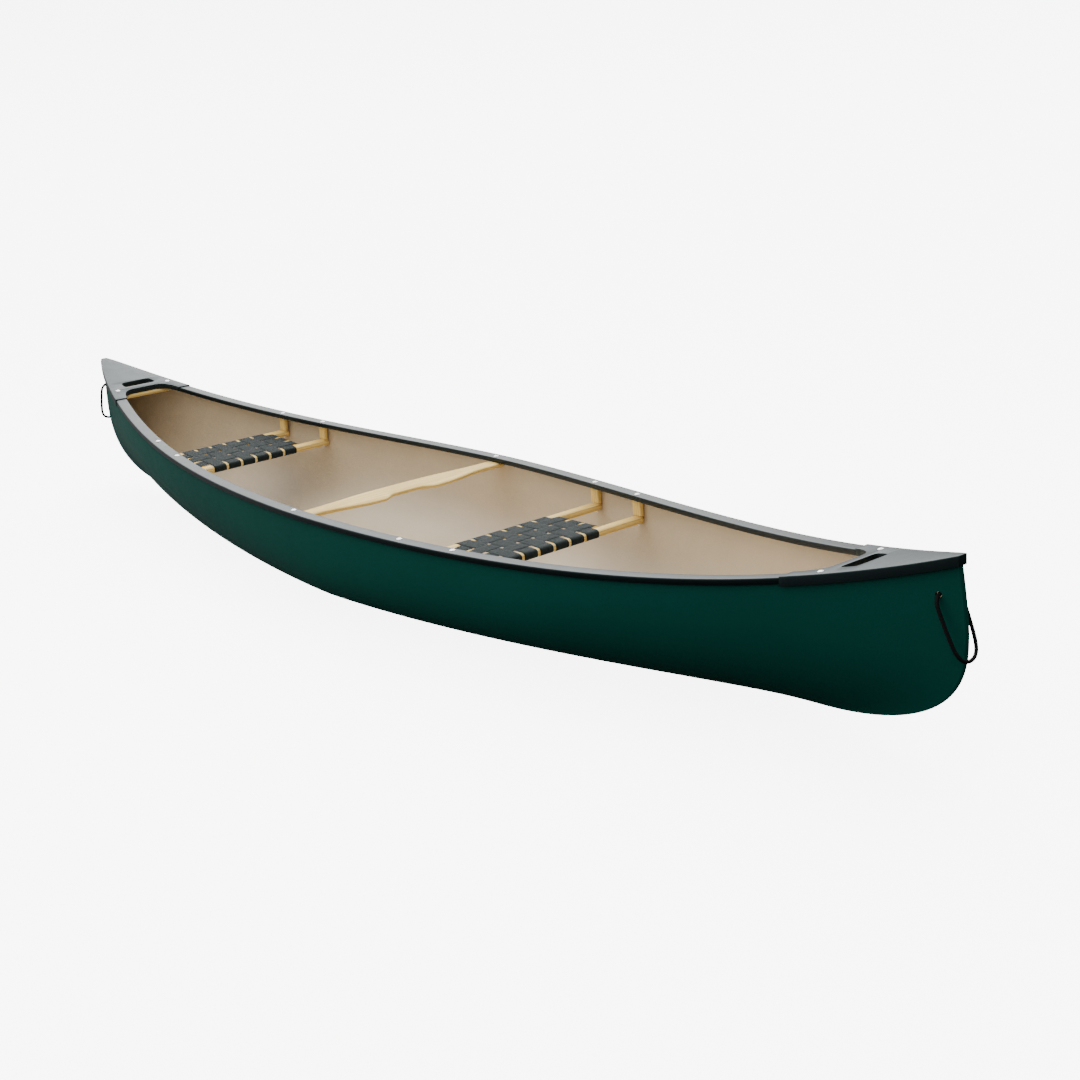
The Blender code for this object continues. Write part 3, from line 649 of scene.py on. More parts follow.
def build_hull():
    half = spaced(0.0, 2.10, 0.035)[:-1] + spaced(2.10, CAVITY_END, 0.0125)[:-1]
    half += [CAVITY_END, 2.220, 2.227, HALF_LENGTH - STEM_ROUND]
    stations = [-x for x in reversed(half[1:])] + half
    cavity = [x for x in stations if abs(x) <= CAVITY_END]
    first = stations.index(cavity[0])
    width = 2 * SIDE_STEPS + 1
    last = width - 1
    points = []

    def add_ring(ring):
        start = len(points)
        points.extend(ring[::-1])
        points.extend(Vector((p.x, -p.y, p.z)) for p in ring[1:])
        return start

    def nose(end):
        """Rings that round the stem off in plan."""
        near = outer_ring(end * (HALF_LENGTH - STEM_ROUND))
        far = outer_ring(end * HALF_LENGTH)
        rings = []
        for turn in (20.0, 40.0, 60.0, 76.0, 90.0):
            out = math.sin(math.radians(turn))
            thin = math.cos(math.radians(turn))
            pairs = zip(near, far)
            rings.append([Vector((a.x + (b.x - a.x) * out, a.y * thin, a.z)) for a, b in pairs])
        return rings

    outer = [add_ring(ring) for ring in reversed(nose(-1.0))]
    outer += [add_ring(outer_ring(x)) for x in stations]
    outer += [add_ring(ring) for ring in nose(1.0)]
    inner = [add_ring(inner_ring(x)) for x in cavity]
    offset = 5 + first
    faces = []
    skins = []

    def strip(rings, skin):
        for a, b in zip(rings, rings[1:]):
            faces.extend((a + k, a + k + 1, b + k + 1, b + k) for k in range(last))
            skins.extend([skin] * last)

    strip(outer, 0)
    strip(inner, 1)
    for start in (inner[0], inner[-1]):
        for k in range(SIDE_STEPS - 1):
            faces.append((start + k, start + k + 1, start + last - 1 - k, start + last - k))
            skins.append(1)
        keel = start + SIDE_STEPS
        faces.append((keel - 1, keel, keel + 1))
        skins.append(1)
    for i in range(len(cavity) - 1):
        a, b = outer[offset + i], outer[offset + i + 1]
        c, d = inner[i], inner[i + 1]
        faces += [(a, b, d, c), (a + last, b + last, d + last, c + last)]
        skins += [1, 1]
    for step, edge in ((-1, 0), (1, len(cavity) - 1)):
        walk = offset + edge
        here, after, inside = outer[walk], outer[walk + step], inner[edge]
        faces.append((here, after, after + last, here + last, inside + last, inside))
        skins.append(0)
        walk += step
        while 0 <= walk + step < len(outer):
            a, b = outer[walk], outer[walk + step]
            faces.append((a, b, b + last, a + last))
            skins.append(0)
            walk += step
    mesh = drawn("hull", points, faces)
    mesh.polygons.foreach_set("material_index", skins)
    hull = link("hull", cleaned(mesh), GREEN)
    mesh.materials.append(TAN)
    for _, end in ENDS:
        combine(hull, rod((end * LOOP_X, 0.0, LOOP_Z), (0, 1, 0), ROPE_HOLE_RADIUS, CUT_LENGTH, 28))
    smooth(hull, 30.0)
    return ready(hull, "hull_green", "hull_shell")


# ---------------------------------------------------------------- gunwales


def gunwale_profile():
    slot_in = -(WALL + GAP)
    leg_in = slot_in - LEG
    inside = LIP_IN + LEG
    return [
        (GAP, -LIP_DEPTH + 0.0008),
        (0.0011, -LIP_DEPTH),
        (LIP_OUT - 0.0022, -LIP_DEPTH),
        (LIP_OUT - 0.0007, -LIP_DEPTH + 0.0006),
        (LIP_OUT - 0.0001, -LIP_DEPTH + 0.0020),
        (LIP_OUT, -0.0040),
        (LIP_OUT - 0.0003, -0.0022),
        (LIP_OUT - 0.0010, -0.0010),
        (LIP_OUT - 0.0022, -0.0003),
        (LIP_OUT - 0.0040, 0.0),
        (-0.0090, 0.0),
        (-0.0250, 0.0),
        (LIP_IN + 0.0036, 0.0),
        (LIP_IN + 0.0019, -0.0003),
        (LIP_IN + 0.0008, -0.0010),
        (LIP_IN + 0.0002, -0.0022),
        (LIP_IN, -0.0040),
        (LIP_IN, -LEG_DEPTH + 0.0010),
        (LIP_IN + 0.0006, -LEG_DEPTH),
        (inside - 0.0005, -LEG_DEPTH),
        (inside, -LEG_DEPTH + 0.0006),
        (inside, -WEB),
        (leg_in, -WEB),
        (leg_in, -LEG_DEPTH),
        (slot_in, -LEG_DEPTH),
        (slot_in, -WEB),
        (GAP, -WEB),
    ]


def insert_profile():
    out = -(WALL + GAP) - LEG - GAP
    far = LIP_IN + LEG + GAP
    top = -WEB - GAP
    low = top - INSERT_DEPTH
    return [
        (out, low),
        (out, top),
        (far, top),
        (far, low),
        (far + INSERT_WALL, low),
        (far + INSERT_WALL, top - INSERT_WALL),
        (out - INSERT_WALL, top - INSERT_WALL),
        (out - INSERT_WALL, low),
    ]


def bolt_places():
    """Every bolt through the gunwales: name, x, pitch, height of the head's seat."""
    places = []
    for label, rails in SEATS.items():
        pitch = seat_pitch(rails)
        for rail, x in zip(("front", "rear"), rails):
            places.append((f"{label}_seat_{rail}", x, pitch, GAP))
    places.append(("yoke", YOKE_X, 0.0, GAP))
    for label, end in ENDS:
        x = end * DECK_BOLT_X
        places.append((f"{label}_deck", x, sheer_pitch(x), 2.0 * GAP + DECK_THICK))
    return places


def bolt_axis(pitch):
    return Vector((-math.sin(pitch), 0.0, math.cos(pitch)))


def bolt_base(x, side):
    """Where a bolt's axis crosses the gunwale's top."""
    return Vector((x, side * abeam(x, BOLT_OFFSET), sheer(x)))


def bolt_bore(x, side, pitch):
    return rod(bolt_base(x, side), bolt_axis(pitch), BORE_RADIUS, CUT_LENGTH, 16)


def build_gunwales():
    line = spaced(-GUNWALE_END, GUNWALE_END, 0.026)
    for label, side in SIDES:
        for name, profile, material, slot in (
            ("gunwale", gunwale_profile(), VINYL, "gunwale_vinyl"),
            ("gunwale_insert", insert_profile(), ALUMINIUM, "gunwale_insert"),
        ):
            rings = [[(x, side * abeam(x, o), sheer(x) + z) for o, z in profile] for x in line]
            item = loft(f"{name}_trim_{label}", rings, material)
            for _, x, pitch, _ in bolt_places():
                combine(item, bolt_bore(x, side, pitch))
            smooth(item, 50.0)
            ready(item, slot, f"{name}_{label}")


# ---------------------------------------------------------------- deck plates


def cockpit_edge(end):
    """Plan of the deck plate's inner edge, from one arm round to the other."""
    arm = [(x, abeam(x, LIP_IN - GAP - LEG)) for x in (1.800, 1.812, 1.824, 1.830, 1.838, 1.846)]
    corner_y = arm[-1][1]
    turn = [
        (1.866, corner_y - 0.011),
        (1.884, corner_y - 0.025),
        (1.895, corner_y - 0.042),
        (HANDLE_X, corner_y - 0.060),
    ]
    bend = smooth_line([(1.838, arm[-2][1]), arm[-1], *turn, (HANDLE_X, corner_y - 0.078)], 4)
    half = arm[:-2] + [(p.x, p.y) for p in bend]
    full = half + [(x, -y) for x, y in reversed(half)]
    return [(end * x, y) for x, y in full]


def smooth_line(route, steps):
    """Points along a smooth curve through the route, evenly stepped between its points."""
    line = []
    knots = [Vector(p) for p in route]
    padded = [2.0 * knots[0] - knots[1], *knots, 2.0 * knots[-1] - knots[-2]]
    for a, b, c, d in zip(padded, padded[1:], padded[2:], padded[3:]):
        for k in range(steps):
            t = k / steps
            bend = (2.0 * a - 5.0 * b + 4.0 * c - d) * t**2
            twist = (3.0 * b - 3.0 * c + d - a) * t**3
            line.append(0.5 * (2.0 * b + (c - a) * t + bend + twist))
    line.append(knots[-1])
    return line


def offset_plan(line, distance):
    """A plan polyline moved sideways, to its left."""
    moved = []
    for i, (x, y) in enumerate(line):
        before = line[max(i - 1, 0)]
        after = line[min(i + 1, len(line) - 1)]
        run = Vector((after[0] - before[0], after[1] - before[1])).normalized()
        moved.append((x - run.y * distance, y + run.x * distance))
    return moved


def deck_lip(end):
    """Upright band that hangs from the deck plate's inner edge."""
    arm_x = DECK_START + 0.004
    arm_y = abeam(arm_x, LIP_IN - GAP - LEG)
    middle = [p for p in cockpit_edge(end) if abs(p[0]) > arm_x + 0.002]
    line = [(end * arm_x, arm_y), *middle, (end * arm_x, -arm_y)]
    a = offset_plan(line, -0.001 * end)
    b = offset_plan(line, LEG * end)
    high = GAP + 0.5 * DECK_THICK
    rings = []
    for p, q in zip(a, b):
        top_p, top_q = sheer(p[0]), sheer(q[0])
        low = -DECK_LIP_DEPTH
        rings.append([(*p, top_p + low), (*p, top_p + high), (*q, top_q + high), (*q, top_q + low)])
    return loft("tool", rings)


def slot_plan(end):
    rear, front = SLOT_X
    route = [
        (rear, 0.0),
        (rear, SLOT_HALF - 0.016),
        (rear + 0.003, SLOT_HALF - 0.004),
        (rear + 0.011, SLOT_HALF),
        (front - 0.013, SLOT_HALF - 0.004),
        (front - 0.004, SLOT_HALF - 0.010),
        (front, SLOT_HALF - 0.024),
        (front, 0.0),
    ]
    half = [(p.x, p.y) for p in smooth_line(route, 4)]
    full = half + [(x, -y) for x, y in reversed(half[1:-1])]
    return [(end * x, y) for x, y in full]


def slot_rim(end):
    """Block around the hand slot that becomes its turned-down rim."""
    middle = end * 0.5 * (SLOT_X[0] + SLOT_X[1])
    grow = 1.0 + 2.0 * SLOT_RIM / (SLOT_X[1] - SLOT_X[0])
    widen = 1.0 + SLOT_RIM / SLOT_HALF
    grown = [(middle + (x - middle) * grow, y * widen) for x, y in slot_plan(end)]
    drops = (DECK_LIP_DEPTH, -GAP - 0.5 * DECK_THICK)
    return loft("tool", [[(x, y, sheer(x) - drop) for x, y in grown] for drop in drops])


def build_deck(label, end):
    reach = spaced(DECK_START, 2.20, 0.022) + [2.213, 2.226, HALF_LENGTH]
    bends = [math.sin(math.radians(t)) for t in (0.0, 25.0, 50.0, 70.0, 90.0)]
    nose = [DECK_NOSE - DECK_NOSE_ROUND * (1.0 - bend) for bend in bends]
    nose = [x for x in nose if x > HALF_LENGTH + 0.0005]
    outer_rings = []
    hollow_rings = []
    turns = (0.0, 0.4, 0.8, 1.2, 1.5708)
    arc = [(DECK_EDGE * math.sin(t), DECK_EDGE * (1.0 - math.cos(t))) for t in turns]
    for x in reach + nose:
        deep = max(x - DECK_NOSE + DECK_NOSE_ROUND, 0.0)
        corner = DECK_NOSE_ROUND - math.sqrt(max(DECK_NOSE_ROUND**2 - deep**2, 0.0))
        half = abeam(x, LIP_OUT + GAP + DECK_SKIRT) - 0.6 * corner
        top = sheer(x) + GAP + DECK_THICK
        low = sheer(x) - DECK_SKIRT_DEPTH
        ring = [(end * x, half - 0.0006, low), (end * x, half, low + 0.0006)]
        ring += [(end * x, half - drop, top - DECK_EDGE + rise) for rise, drop in arc]
        ring += [(p[0], -p[1], p[2]) for p in reversed(ring)]
        outer_rings.append(ring)
    for x in [DECK_START - CUT_MARGIN] + reach + [DECK_NOSE - DECK_THICK]:
        half = abeam(x, LIP_OUT + GAP) - (DECK_NOSE_INSET if x > HALF_LENGTH else 0.0)
        top = sheer(x) + GAP
        low = sheer(x) - DECK_SKIRT_DEPTH - CUT_MARGIN
        ring = [(half, low), (half, top), (-half, top), (-half, low)]
        hollow_rings.append([(end * x, y, z) for y, z in ring])
    deck = loft(f"{label}_deck_cap", outer_rings, PLASTIC)
    combine(deck, loft("tool", hollow_rings))
    combine(deck, deck_lip(end), "UNION")
    low = CENTRE_DEPTH
    high = CENTRE_DEPTH + SHEER_RISE + CUT_MARGIN
    combine(deck, prism(cockpit_edge(end), low, high))
    combine(deck, slot_rim(end), "UNION")
    combine(deck, prism(slot_plan(end), low, high))
    x = end * DECK_BOLT_X
    for _, side in SIDES:
        combine(deck, bolt_bore(x, side, sheer_pitch(x)))
    softened(deck, 0.0009)
    return ready(deck, "deck_plastic", f"{label}_deck_plate")


# ---------------------------------------------------------------- wooden parts


def round_section(width, height, power=3.2, count=40):
    """Rounded bar in a plane, top at zero."""
    ring = []
    for k in range(count):
        t = 2.0 * math.pi * (k + 0.5) / count
        c, s = math.cos(t), math.sin(t)
        x = 0.5 * width * math.copysign(abs(c) ** (2.0 / power), c)
        z = 0.5 * height * math.copysign(abs(s) ** (2.0 / power), s)
        ring.append((x, z - 0.5 * height))
    return ring


def seat_pitch(rails):
    front, rear = rails
    return math.atan2(sheer(front) - sheer(rear), front - rear)


def cross_bar(name, node, x, top, pitch, width, height, end_offset):
    """Bar across the boat whose ends follow the hull, bored for its two bolts."""
    section = round_section(width, height)
    reach = [abeam(x + px * math.cos(pitch), end_offset) for px, _ in section]

    def ring(share, inset=0.0, size=1.0):
        """One section: a share of the way out, drawn in from the end, and scaled."""
        points = []
        for (px, pz), out in zip(section, reach):
            z = (pz + 0.5 * height) * size - 0.5 * height
            points.append((px * size, share * (out - inset), z))
        return points

    rings = [ring(k / BAR_STEPS) for k in range(1 - BAR_STEPS, BAR_STEPS)]
    rings = [ring(-1.0, 0.0, BAR_END_SIZE), ring(-1.0, BAR_END_ROUND), *rings]
    rings += [ring(1.0, BAR_END_ROUND), ring(1.0, 0.0, BAR_END_SIZE)]
    bar = loft(name, rings, ASH_ACROSS)
    across = abeam(x, BOLT_OFFSET)
    for _, side in SIDES:
        combine(bar, rod((0.0, side * across, 0.0), (0, 0, 1), BORE_RADIUS, CUT_LENGTH, 16))
    bar.matrix_world = pitched(top, pitch)
    smooth(bar, 50.0)
    return ready(bar, "ash_wood", node)


def build_seat(label, rails):
    pitch = seat_pitch(rails)
    up = bolt_axis(pitch)
    tops = [Vector((x, 0.0, sheer(x))) - up * RAIL_DROP for x in rails]
    for rail, x, top in zip(("front", "rear"), rails, tops):
        name = f"{label}_seat_{rail}_rail"
        cross_bar(f"{name}_ash", name, x, top, pitch, RAIL_WIDTH, RAIL_HEIGHT, RAIL_END_OFFSET)
    centre = (tops[0] + tops[1]) * 0.5
    span = (tops[0] - tops[1]).length
    half = 0.5 * span - 0.5 * RAIL_WIDTH - GAP
    for side_label, side in SIDES:
        section = round_section(SIDE_BAR_WIDTH, SIDE_BAR_HEIGHT)
        rings = []
        for end in spaced(-half, half, 0.02):
            rings.append([(end, side * SIDE_BAR_Y + q, z - SHIM) for q, z in section])
        node = f"{label}_seat_side_bar_{side_label}"
        bar = loft(f"{node}_ash", rings, ASH_ALONG)
        bar.matrix_world = pitched(centre, pitch)
        ready(smooth(bar, 50.0), "ash_wood", node)
    build_webbing(label, centre, pitch, span)
    for rail, x in zip(("front", "rear"), rails):
        build_drops(f"{label}_seat_{rail}_drop", x, pitch)


def build_drops(name, x, pitch):
    """Square wooden spacers between the gunwale and the seat rail."""
    under = LEG_DEPTH + GAP + DROP_CLEARANCE
    length = RAIL_DROP - under - GAP
    w, d = 0.5 * DROP_WIDTH, 0.5 * DROP_DEPTH
    outline = [(-w, -d), (w, -d), (w, d), (-w, d)]
    rings = [[(p, q, z) for p, q in outline] for z in spaced(-length, 0.0, 0.01)]
    for label, side in SIDES:
        drop = loft(f"{name}_ash_{label}", rings, ASH_UPRIGHT)
        softened(drop, 0.0022, 3)
        combine(drop, rod((0.0, 0.0, 0.0), (0, 0, 1), BORE_RADIUS, 2.0 * CUT_LENGTH, 16))
        drop.matrix_world = pitched(bolt_base(x, side) - bolt_axis(pitch) * under, pitch)
        ready(smooth(drop), "ash_wood", f"{name}_{label}")


def strap_starts(count, gap):
    total = count * STRAP + (count - 1) * gap
    return [-0.5 * total + 0.5 * STRAP + i * (STRAP + gap) for i in range(count)]


def wrap_path(bar_middle, half_width, height, top):
    """Round the outer side of a bar and under it, from above its middle."""
    section = round_section(2.0 * half_width, height, 3.2, 160)
    gap = GAP + 0.5 * STRAP_THICK
    ring = []
    for k, (px, pz) in enumerate(section):
        after = section[(k + 1) % len(section)]
        before = section[k - 1]
        run = Vector((after[0] - before[0], after[1] - before[1])).normalized()
        ring.append((px + run.y * gap, pz - run.x * gap))
    quarter = len(section) // 4
    path = [ring[k % len(ring)] for k in range(quarter, -quarter - 6, -2)]
    return [(bar_middle + px, pz + top) for px, pz in path]


def ribbon(path):
    """Strap along a path of (run, height) points: points, their UVs and the ring size."""
    across = [-0.5, -0.485, -0.25, 0.0, 0.25, 0.485, 0.5]
    lift = [0.0, 1.0, 1.0, 1.0, 1.0, 1.0, 0.0]
    points = []
    places = []
    length = 0.0
    for i, (run, height) in enumerate(path):
        before = path[max(i - 1, 0)]
        after = path[min(i + 1, len(path) - 1)]
        t = Vector((after[0] - before[0], after[1] - before[1])).normalized()
        n = Vector((-t.y, t.x))
        if i:
            length += math.hypot(run - path[i - 1][0], height - path[i - 1][1])
        ring = []
        for way in (1.0, -1.0):
            order = range(len(across)) if way > 0.0 else range(len(across) - 2, 0, -1)
            for k in order:
                off = way * 0.5 * STRAP_THICK * lift[k]
                ring.append((run + n.x * off, across[k] * STRAP, height + n.y * off))
                places.append((across[k] * STRAP, length))
        points.extend(ring)
    return points, places, 2 * len(across) - 2


def strap_mesh(name, strands):
    """One mesh from several ribbons, each (points, places, ring size)."""
    points = []
    faces = []
    uvs = []
    for strand, places, count in strands:
        faces += tube_faces(len(strand) // count, count, len(points))
        points += strand
        uvs += places
    mesh = drawn(name, points, faces)
    layer = mesh.uv_layers.new(name="strap")
    for loop in mesh.loops:
        layer.data[loop.index].uv = uvs[loop.vertex_index]
    return link(name, cleaned(mesh, weld=0.0), WEBBING)


def build_webbing(label, centre, pitch, span):
    """Flat straps both ways, woven over and under, and folded round the four bars."""
    rest = GAP + 0.5 * STRAP_THICK
    middle = GAP + STRAP_THICK + 0.0001
    swing = 0.5 * STRAP_THICK + 0.0001
    long_starts = strap_starts(6, STRAP_GAP)
    cross_starts = strap_starts(3, CROSS_GAP)

    def height(run, crossings, parity, reach):
        """Height of a strap that goes over and under the crossing ones."""
        marks = [(-reach, rest)]
        for j, at in enumerate(crossings):
            level = middle + (swing if (j + parity) % 2 == 0 else -swing)
            marks += [(at - 0.30 * STRAP, level), (at + 0.30 * STRAP, level)]
        marks.append((reach, rest))
        for (a, low), (b, high) in zip(marks, marks[1:]):
            if a <= run <= b:
                t = (run - a) / (b - a)
                return low + (high - low) * t * t * (3.0 - 2.0 * t)
        return rest

    def strand(edge, crossings, parity):
        """Strap folded round a bar at each end."""
        reach = edge[0][0]
        flat = [(x, height(x, crossings, parity, reach)) for x in spaced(-reach, reach, 0.004)]
        return ribbon([(-x, z) for x, z in reversed(edge[1:])] + flat + edge[1:])

    strands = []
    edge = wrap_path(0.5 * span, 0.5 * RAIL_WIDTH, RAIL_HEIGHT, 0.0)
    for i, at in enumerate(long_starts):
        points, places, count = strand(edge, cross_starts, i)
        strands.append(([(x, y + at, z) for x, y, z in points], places, count))
    edge = wrap_path(SIDE_BAR_Y, 0.5 * SIDE_BAR_WIDTH, SIDE_BAR_HEIGHT, -SHIM)
    for j, at in enumerate(cross_starts):
        points, places, count = strand(edge, long_starts, j + 1)
        strands.append(([(at - y, x, z) for x, y, z in points], places, count))
    web = strap_mesh(f"{label}_seat_straps", strands)
    web.matrix_world = pitched(centre, pitch)
    smooth(web, 60.0)
    return ready(web, "seat_webbing", f"{label}_seat_webbing")


def build_thwart(label, end):
    x = end * DECK_BOLT_X
    pitch = sheer_pitch(x)
    top = Vector((x, 0.0, sheer(x))) - bolt_axis(pitch) * (LEG_DEPTH + GAP + SHIM)
    name = f"{label}_deck_thwart"
    cross_bar(f"{name}_ash", name, x, top, pitch, THWART_WIDTH, THWART_HEIGHT, BAR_END_OFFSET)


def smooth_step(value, low, high):
    share = min(max((value - low) / (high - low), 0.0), 1.0)
    return share * share * (3.0 - 2.0 * share)


def build_yoke():
    """Carved carrying yoke: neck notch on the bow side between two shoulders."""
    end = abeam(YOKE_X, BAR_END_OFFSET)
    ys = spaced(-end + 0.001, end - 0.001, 0.007)
    rings = []
    for y in ys:
        reach = abs(y)
        notch = 0.040 + 0.028 * smooth_step(reach, 0.050, 0.105)
        front = notch - 0.037 * smooth_step(reach, 0.125, 0.345)
        rear = -0.031 - 0.024 * (1.0 - smooth_step(reach, 0.10, 0.36))
        middle = 0.5 * (front + rear)
        section = round_section(front - rear, YOKE_HEIGHT, 3.0, 56)
        rings.append([(middle + px, y, pz) for px, pz in section])
    yoke = loft("yoke_ash", rings, ASH_ACROSS)
    for _, side in SIDES:
        across = side * abeam(YOKE_X, BOLT_OFFSET)
        combine(yoke, rod((0.0, across, 0.0), (0, 0, 1), BORE_RADIUS, CUT_LENGTH, 16))
    softened(yoke, 0.0008)
    yoke.matrix_world = Matrix.Translation((YOKE_X, 0.0, sheer(YOKE_X) - LEG_DEPTH - GAP))
    return ready(yoke, "ash_wood", "yoke")


# ---------------------------------------------------------------- fasteners


def stack_depth(name):
    """Depth of a bolted stack's underside below the gunwale's top."""
    if "seat" in name:
        return RAIL_DROP + RAIL_HEIGHT
    if name == "yoke":
        return LEG_DEPTH + GAP + YOKE_HEIGHT
    return LEG_DEPTH + GAP + SHIM + THWART_HEIGHT


def screw_profile(seat, tail):
    """Domed head on its seat, and a shank down to the tail."""
    head = [
        (0.0, 0.0018),
        (0.0016, 0.0019),
        (0.0022, 0.0029),
        (0.0032, 0.0031),
        (0.0050, 0.0027),
        (0.0062, 0.0020),
        (0.0066, 0.0013),
        (0.0070, 0.0012),
        (0.0084, 0.0011),
        (0.0089, 0.0007),
        (HEAD_RADIUS, 0.0002),
        (HEAD_RADIUS - 0.0002, 0.0),
        (BOLT_RADIUS, 0.0),
    ]
    profile = [(r, seat + h) for r, h in head]
    return profile + [(BOLT_RADIUS, -tail + 0.0006), (BOLT_RADIUS - 0.0006, -tail), (0.0, -tail)]


def nut_profile(under):
    """Lock nut with a round collar at its lower end."""
    return [
        (NUT_BORE, -under),
        (NUT_RADIUS - 0.0006, -under),
        (NUT_RADIUS, -under - 0.0006),
        (NUT_RADIUS, -under - 0.0036),
        (NUT_RADIUS - 0.0008, -under - 0.0042),
        (NUT_COLLAR, -under - 0.0044),
        (NUT_COLLAR, -under - NUT_HEIGHT),
        (NUT_BORE, -under - NUT_HEIGHT),
    ]


def build_fasteners():
    for name, x, pitch, seat in bolt_places():
        seat = seat + abs(math.tan(sheer_pitch(x) - pitch)) * HEAD_RADIUS
        under = stack_depth(name) + GAP
        screw = screw_profile(seat, under + NUT_HEIGHT + BOLT_TAIL)
        for label, side in SIDES:
            for piece, node, profile, segments, angle in (
                ("screw", "bolt", screw, 28, 35.0),
                ("locknut", "nut", nut_profile(under), 6, 20.0),
            ):
                item = turned(f"{name}_{piece}_{label}", profile, segments, STEEL)
                item.matrix_world = pitched(bolt_base(x, side), pitch)
                ready(smooth(item, angle), "fastener_steel", f"{name}_{node}_{label}")


# ---------------------------------------------------------------- grab loops


def loop_points(end):
    """The rope's centreline, as part of its own plane tipped forward."""
    half = [(KNOT_HALF + GAP, -KNOT_LIFT), *LOOP_ROUTE]
    route = half + [(-side, down) for side, down in reversed(half[:-1])]
    line = []
    for side, down in smooth_line(route, 2):
        forward = end * (LOOP_X + down * math.sin(LOOP_TILT))
        line.append(Vector((forward, side, LOOP_Z - down * math.cos(LOOP_TILT))))
    return line


def braid(name, line, radius):
    """Braided rope: a tube whose skin rises and falls as crossing strands."""
    dense = smooth_line(line, 12)
    step = 0.0009
    shares = [0.0]
    for a, b in zip(dense, dense[1:]):
        shares.append(shares[-1] + (b - a).length)
    count = round(shares[-1] / step)
    marks = np.linspace(0.0, shares[-1], count + 1)
    axes = [np.interp(marks, shares, [p[k] for p in dense]) for k in range(3)]
    path = [Vector(p) for p in zip(*axes)]
    around = 32
    rings = []
    normal = None
    for i, here in enumerate(path):
        run = (path[min(i + 1, count)] - path[max(i - 1, 0)]).normalized()
        if normal is None:
            normal = run.orthogonal().normalized()
        normal = (normal - run * normal.dot(run)).normalized()
        other = run.cross(normal)
        ring = []
        for k in range(around):
            t = 2.0 * math.pi * k / around
            twist = 2.0 * math.pi * marks[i] / BRAID_PITCH
            right = abs(math.sin(4.0 * (t + twist)))
            left = abs(math.sin(4.0 * (t - twist)))
            size = radius - BRAID_DEPTH * (1.0 - max(right, left) ** 0.7)
            ring.append(here + (normal * math.cos(t) + other * math.sin(t)) * size)
        rings.append(ring)
    return loft(name, rings, ROPE)


def build_grab_loop(label, end):
    line = loop_points(end)
    rope = smooth(braid(f"{label}_loop_rope", line, ROPE_RADIUS), 80.0)
    ready(rope, "rope", f"{label}_grab_loop", body=f"{label}_loop")
    turns = []
    for k in range(49):
        t = 2.0 * math.pi * k / 48.0
        out = KNOT_TURN + 0.0020 * math.cos(3.0 * t)
        side = KNOT_TURN * math.sin(3.0 * t)
        turns.append(Vector((out * math.cos(2.0 * t), side, out * math.sin(2.0 * t))))
    knot = smooth(braid(f"{label}_loop_overhand", turns, KNOT_STRAND), 80.0)
    forward = -end * KNOT_LIFT * math.sin(LOOP_TILT)
    lift = KNOT_LIFT * math.cos(LOOP_TILT)
    knot.matrix_world = Matrix.Translation((end * LOOP_X + forward, 0.0, LOOP_Z + lift))
    ready(knot, "rope", f"{label}_loop_knot", body=f"{label}_loop")


# ---------------------------------------------------------------- stage


def build_stage():
    s = Surface("studio_floor", (0.86, 0.86, 0.86), 0.9, specular=0.1)
    s.colour(s.ramp(s.noise(0.8, 3.0), [(0.3, (0.85,) * 3), (0.7, (0.87,) * 3)]))
    s.fill(s.shader, Emission_Color=(1.0,) * 4, Emission_Strength=FLOOR_GLOW)
    sides = 64
    points = []
    faces = [tuple(range(sides))]
    for i, (radius, height) in enumerate(FLOOR_PROFILE):
        for k in range(sides):
            turn = 2.0 * math.pi * k / sides
            points.append((radius * math.cos(turn), radius * math.sin(turn), height))
            if i:
                a, b = sides * i + k, sides * i + (k + 1) % sides
                faces.append((a - sides, b - sides, b, a))
    floor = smooth(link("floor", drawn("floor", points, faces), s.material), 60.0)
    floor.visible_diffuse = False
    floor.visible_glossy = False
    floor.visible_shadow = False
    build_sky()
    light = bpy.data.lights.new("overhead", "AREA")
    light.shape = "RECTANGLE"
    light.size, light.size_y = LAMP_SIZE
    light.energy = LAMP_POWER
    lamp = link("overhead", light)
    lamp.location = LAMP_PLACE


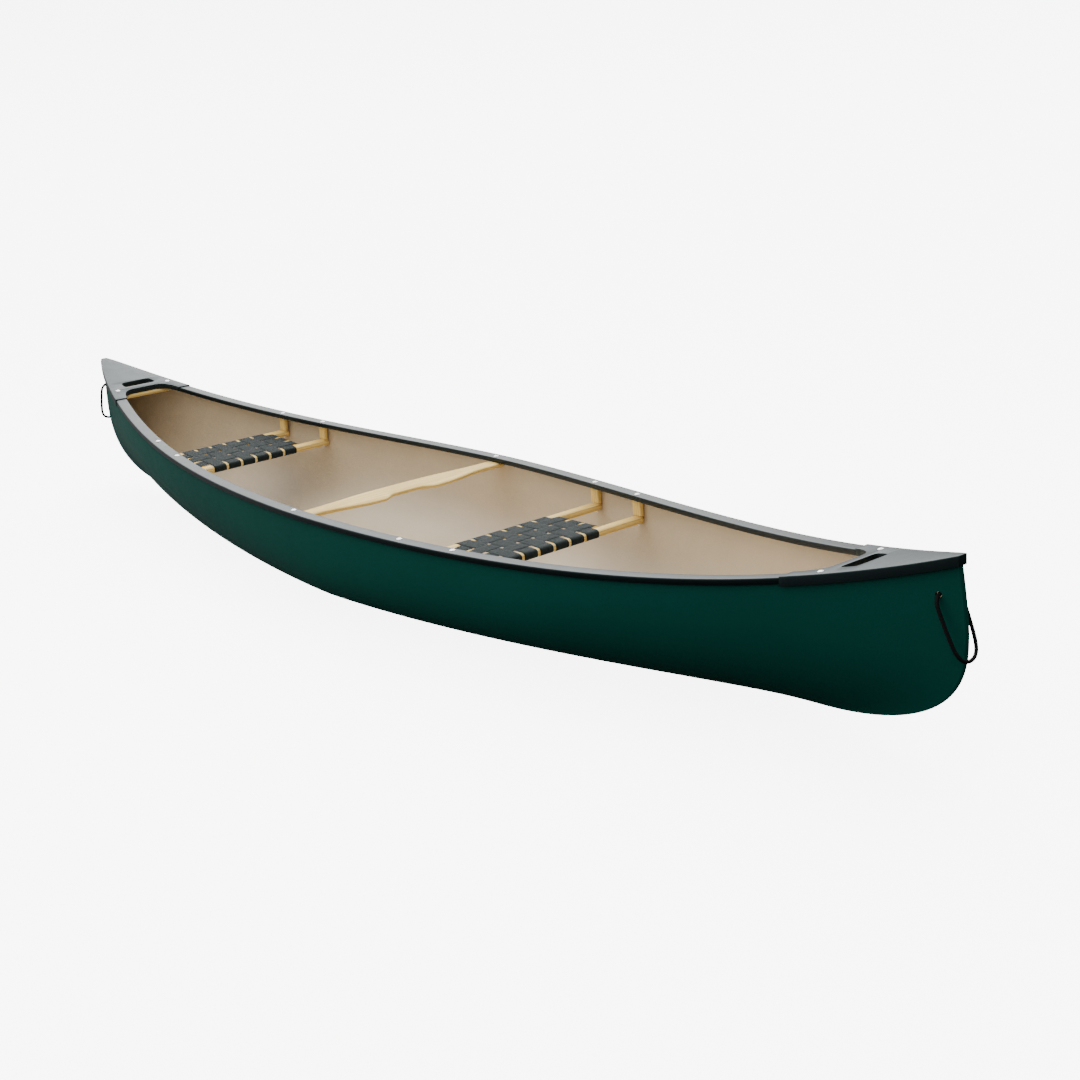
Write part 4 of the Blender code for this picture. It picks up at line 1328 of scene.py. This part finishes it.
def build_sky():
    """Soft studio surroundings: bright behind the boat and overhead, dim in front and below."""
    world = bpy.data.worlds.new("studio")
    world.use_nodes = True
    sky = Tree(world.node_tree)
    toward = sky.add("TexCoord").outputs["Generated"]

    def lobe(direction, start, low, high):
        dot = sky.add("VectorMath")
        dot.operation = "DOT_PRODUCT"
        sky.feed(dot.inputs[0], toward)
        sky.feed(dot.inputs[1], Vector(direction).normalized())
        return sky.span(dot.outputs["Value"], low, high, start, 1.0, "SMOOTHSTEP")

    back = lobe((-0.56, 0.53, 0.63), 0.74, 0.48, 6.4)
    side = lobe((-0.80, -0.60, 0.25), 0.2, 0.0, 1.3)
    lower = lobe((-1.0, -0.2, 0.0), 0.7, 0.03, 0.35)
    height = sky.add("SeparateXYZ", Vector=toward).outputs["Z"]
    haze = sky.span(height, 0.25, 1.0, 0.0, 0.34)
    upper = sky.math("ADD", sky.math("MULTIPLY", back, haze), side)
    blend = sky.add("Mix")
    for index, value in ((0, sky.span(height, 0.0, 1.0, -0.04, 0.04)), (2, lower), (3, upper)):
        sky.feed(blend.inputs[index], value)
    sky.fill(sky.nodes["Background"], Color=(1.0,) * 4, Strength=blend.outputs[0])
    bpy.context.scene.world = world


def build_camera():
    """Camera off the starboard bow, turned by its heading, dip and lean in radians."""
    flat = math.cos(CAMERA_DIP)
    east, north = flat * math.cos(CAMERA_HEADING), flat * math.sin(CAMERA_HEADING)
    ahead = Vector((east, north, math.sin(CAMERA_DIP)))
    right = ahead.cross(Vector((0.0, 0.0, 1.0))).normalized()
    up = right.cross(ahead)
    c, s = math.cos(CAMERA_LEAN), math.sin(CAMERA_LEAN)
    columns = (right * c + up * s, up * c - right * s, -ahead)
    camera = link("camera", bpy.data.cameras.new("camera"))
    camera.data.sensor_width = 36.0
    camera.data.lens = CAMERA_LENS
    turn = Matrix(columns).transposed().to_4x4()
    camera.matrix_world = Matrix.Translation(CAMERA_PLACE) @ turn
    bpy.context.scene.camera = camera


build_stage()
build_camera()
build_hull()
build_gunwales()
for deck_label, deck_end in ENDS:
    build_deck(deck_label, deck_end)
    build_thwart(deck_label, deck_end)
    build_grab_loop(deck_label, deck_end)
for seat_label, seat_rails in SEATS.items():
    build_seat(seat_label, seat_rails)
build_yoke()
build_fasteners()
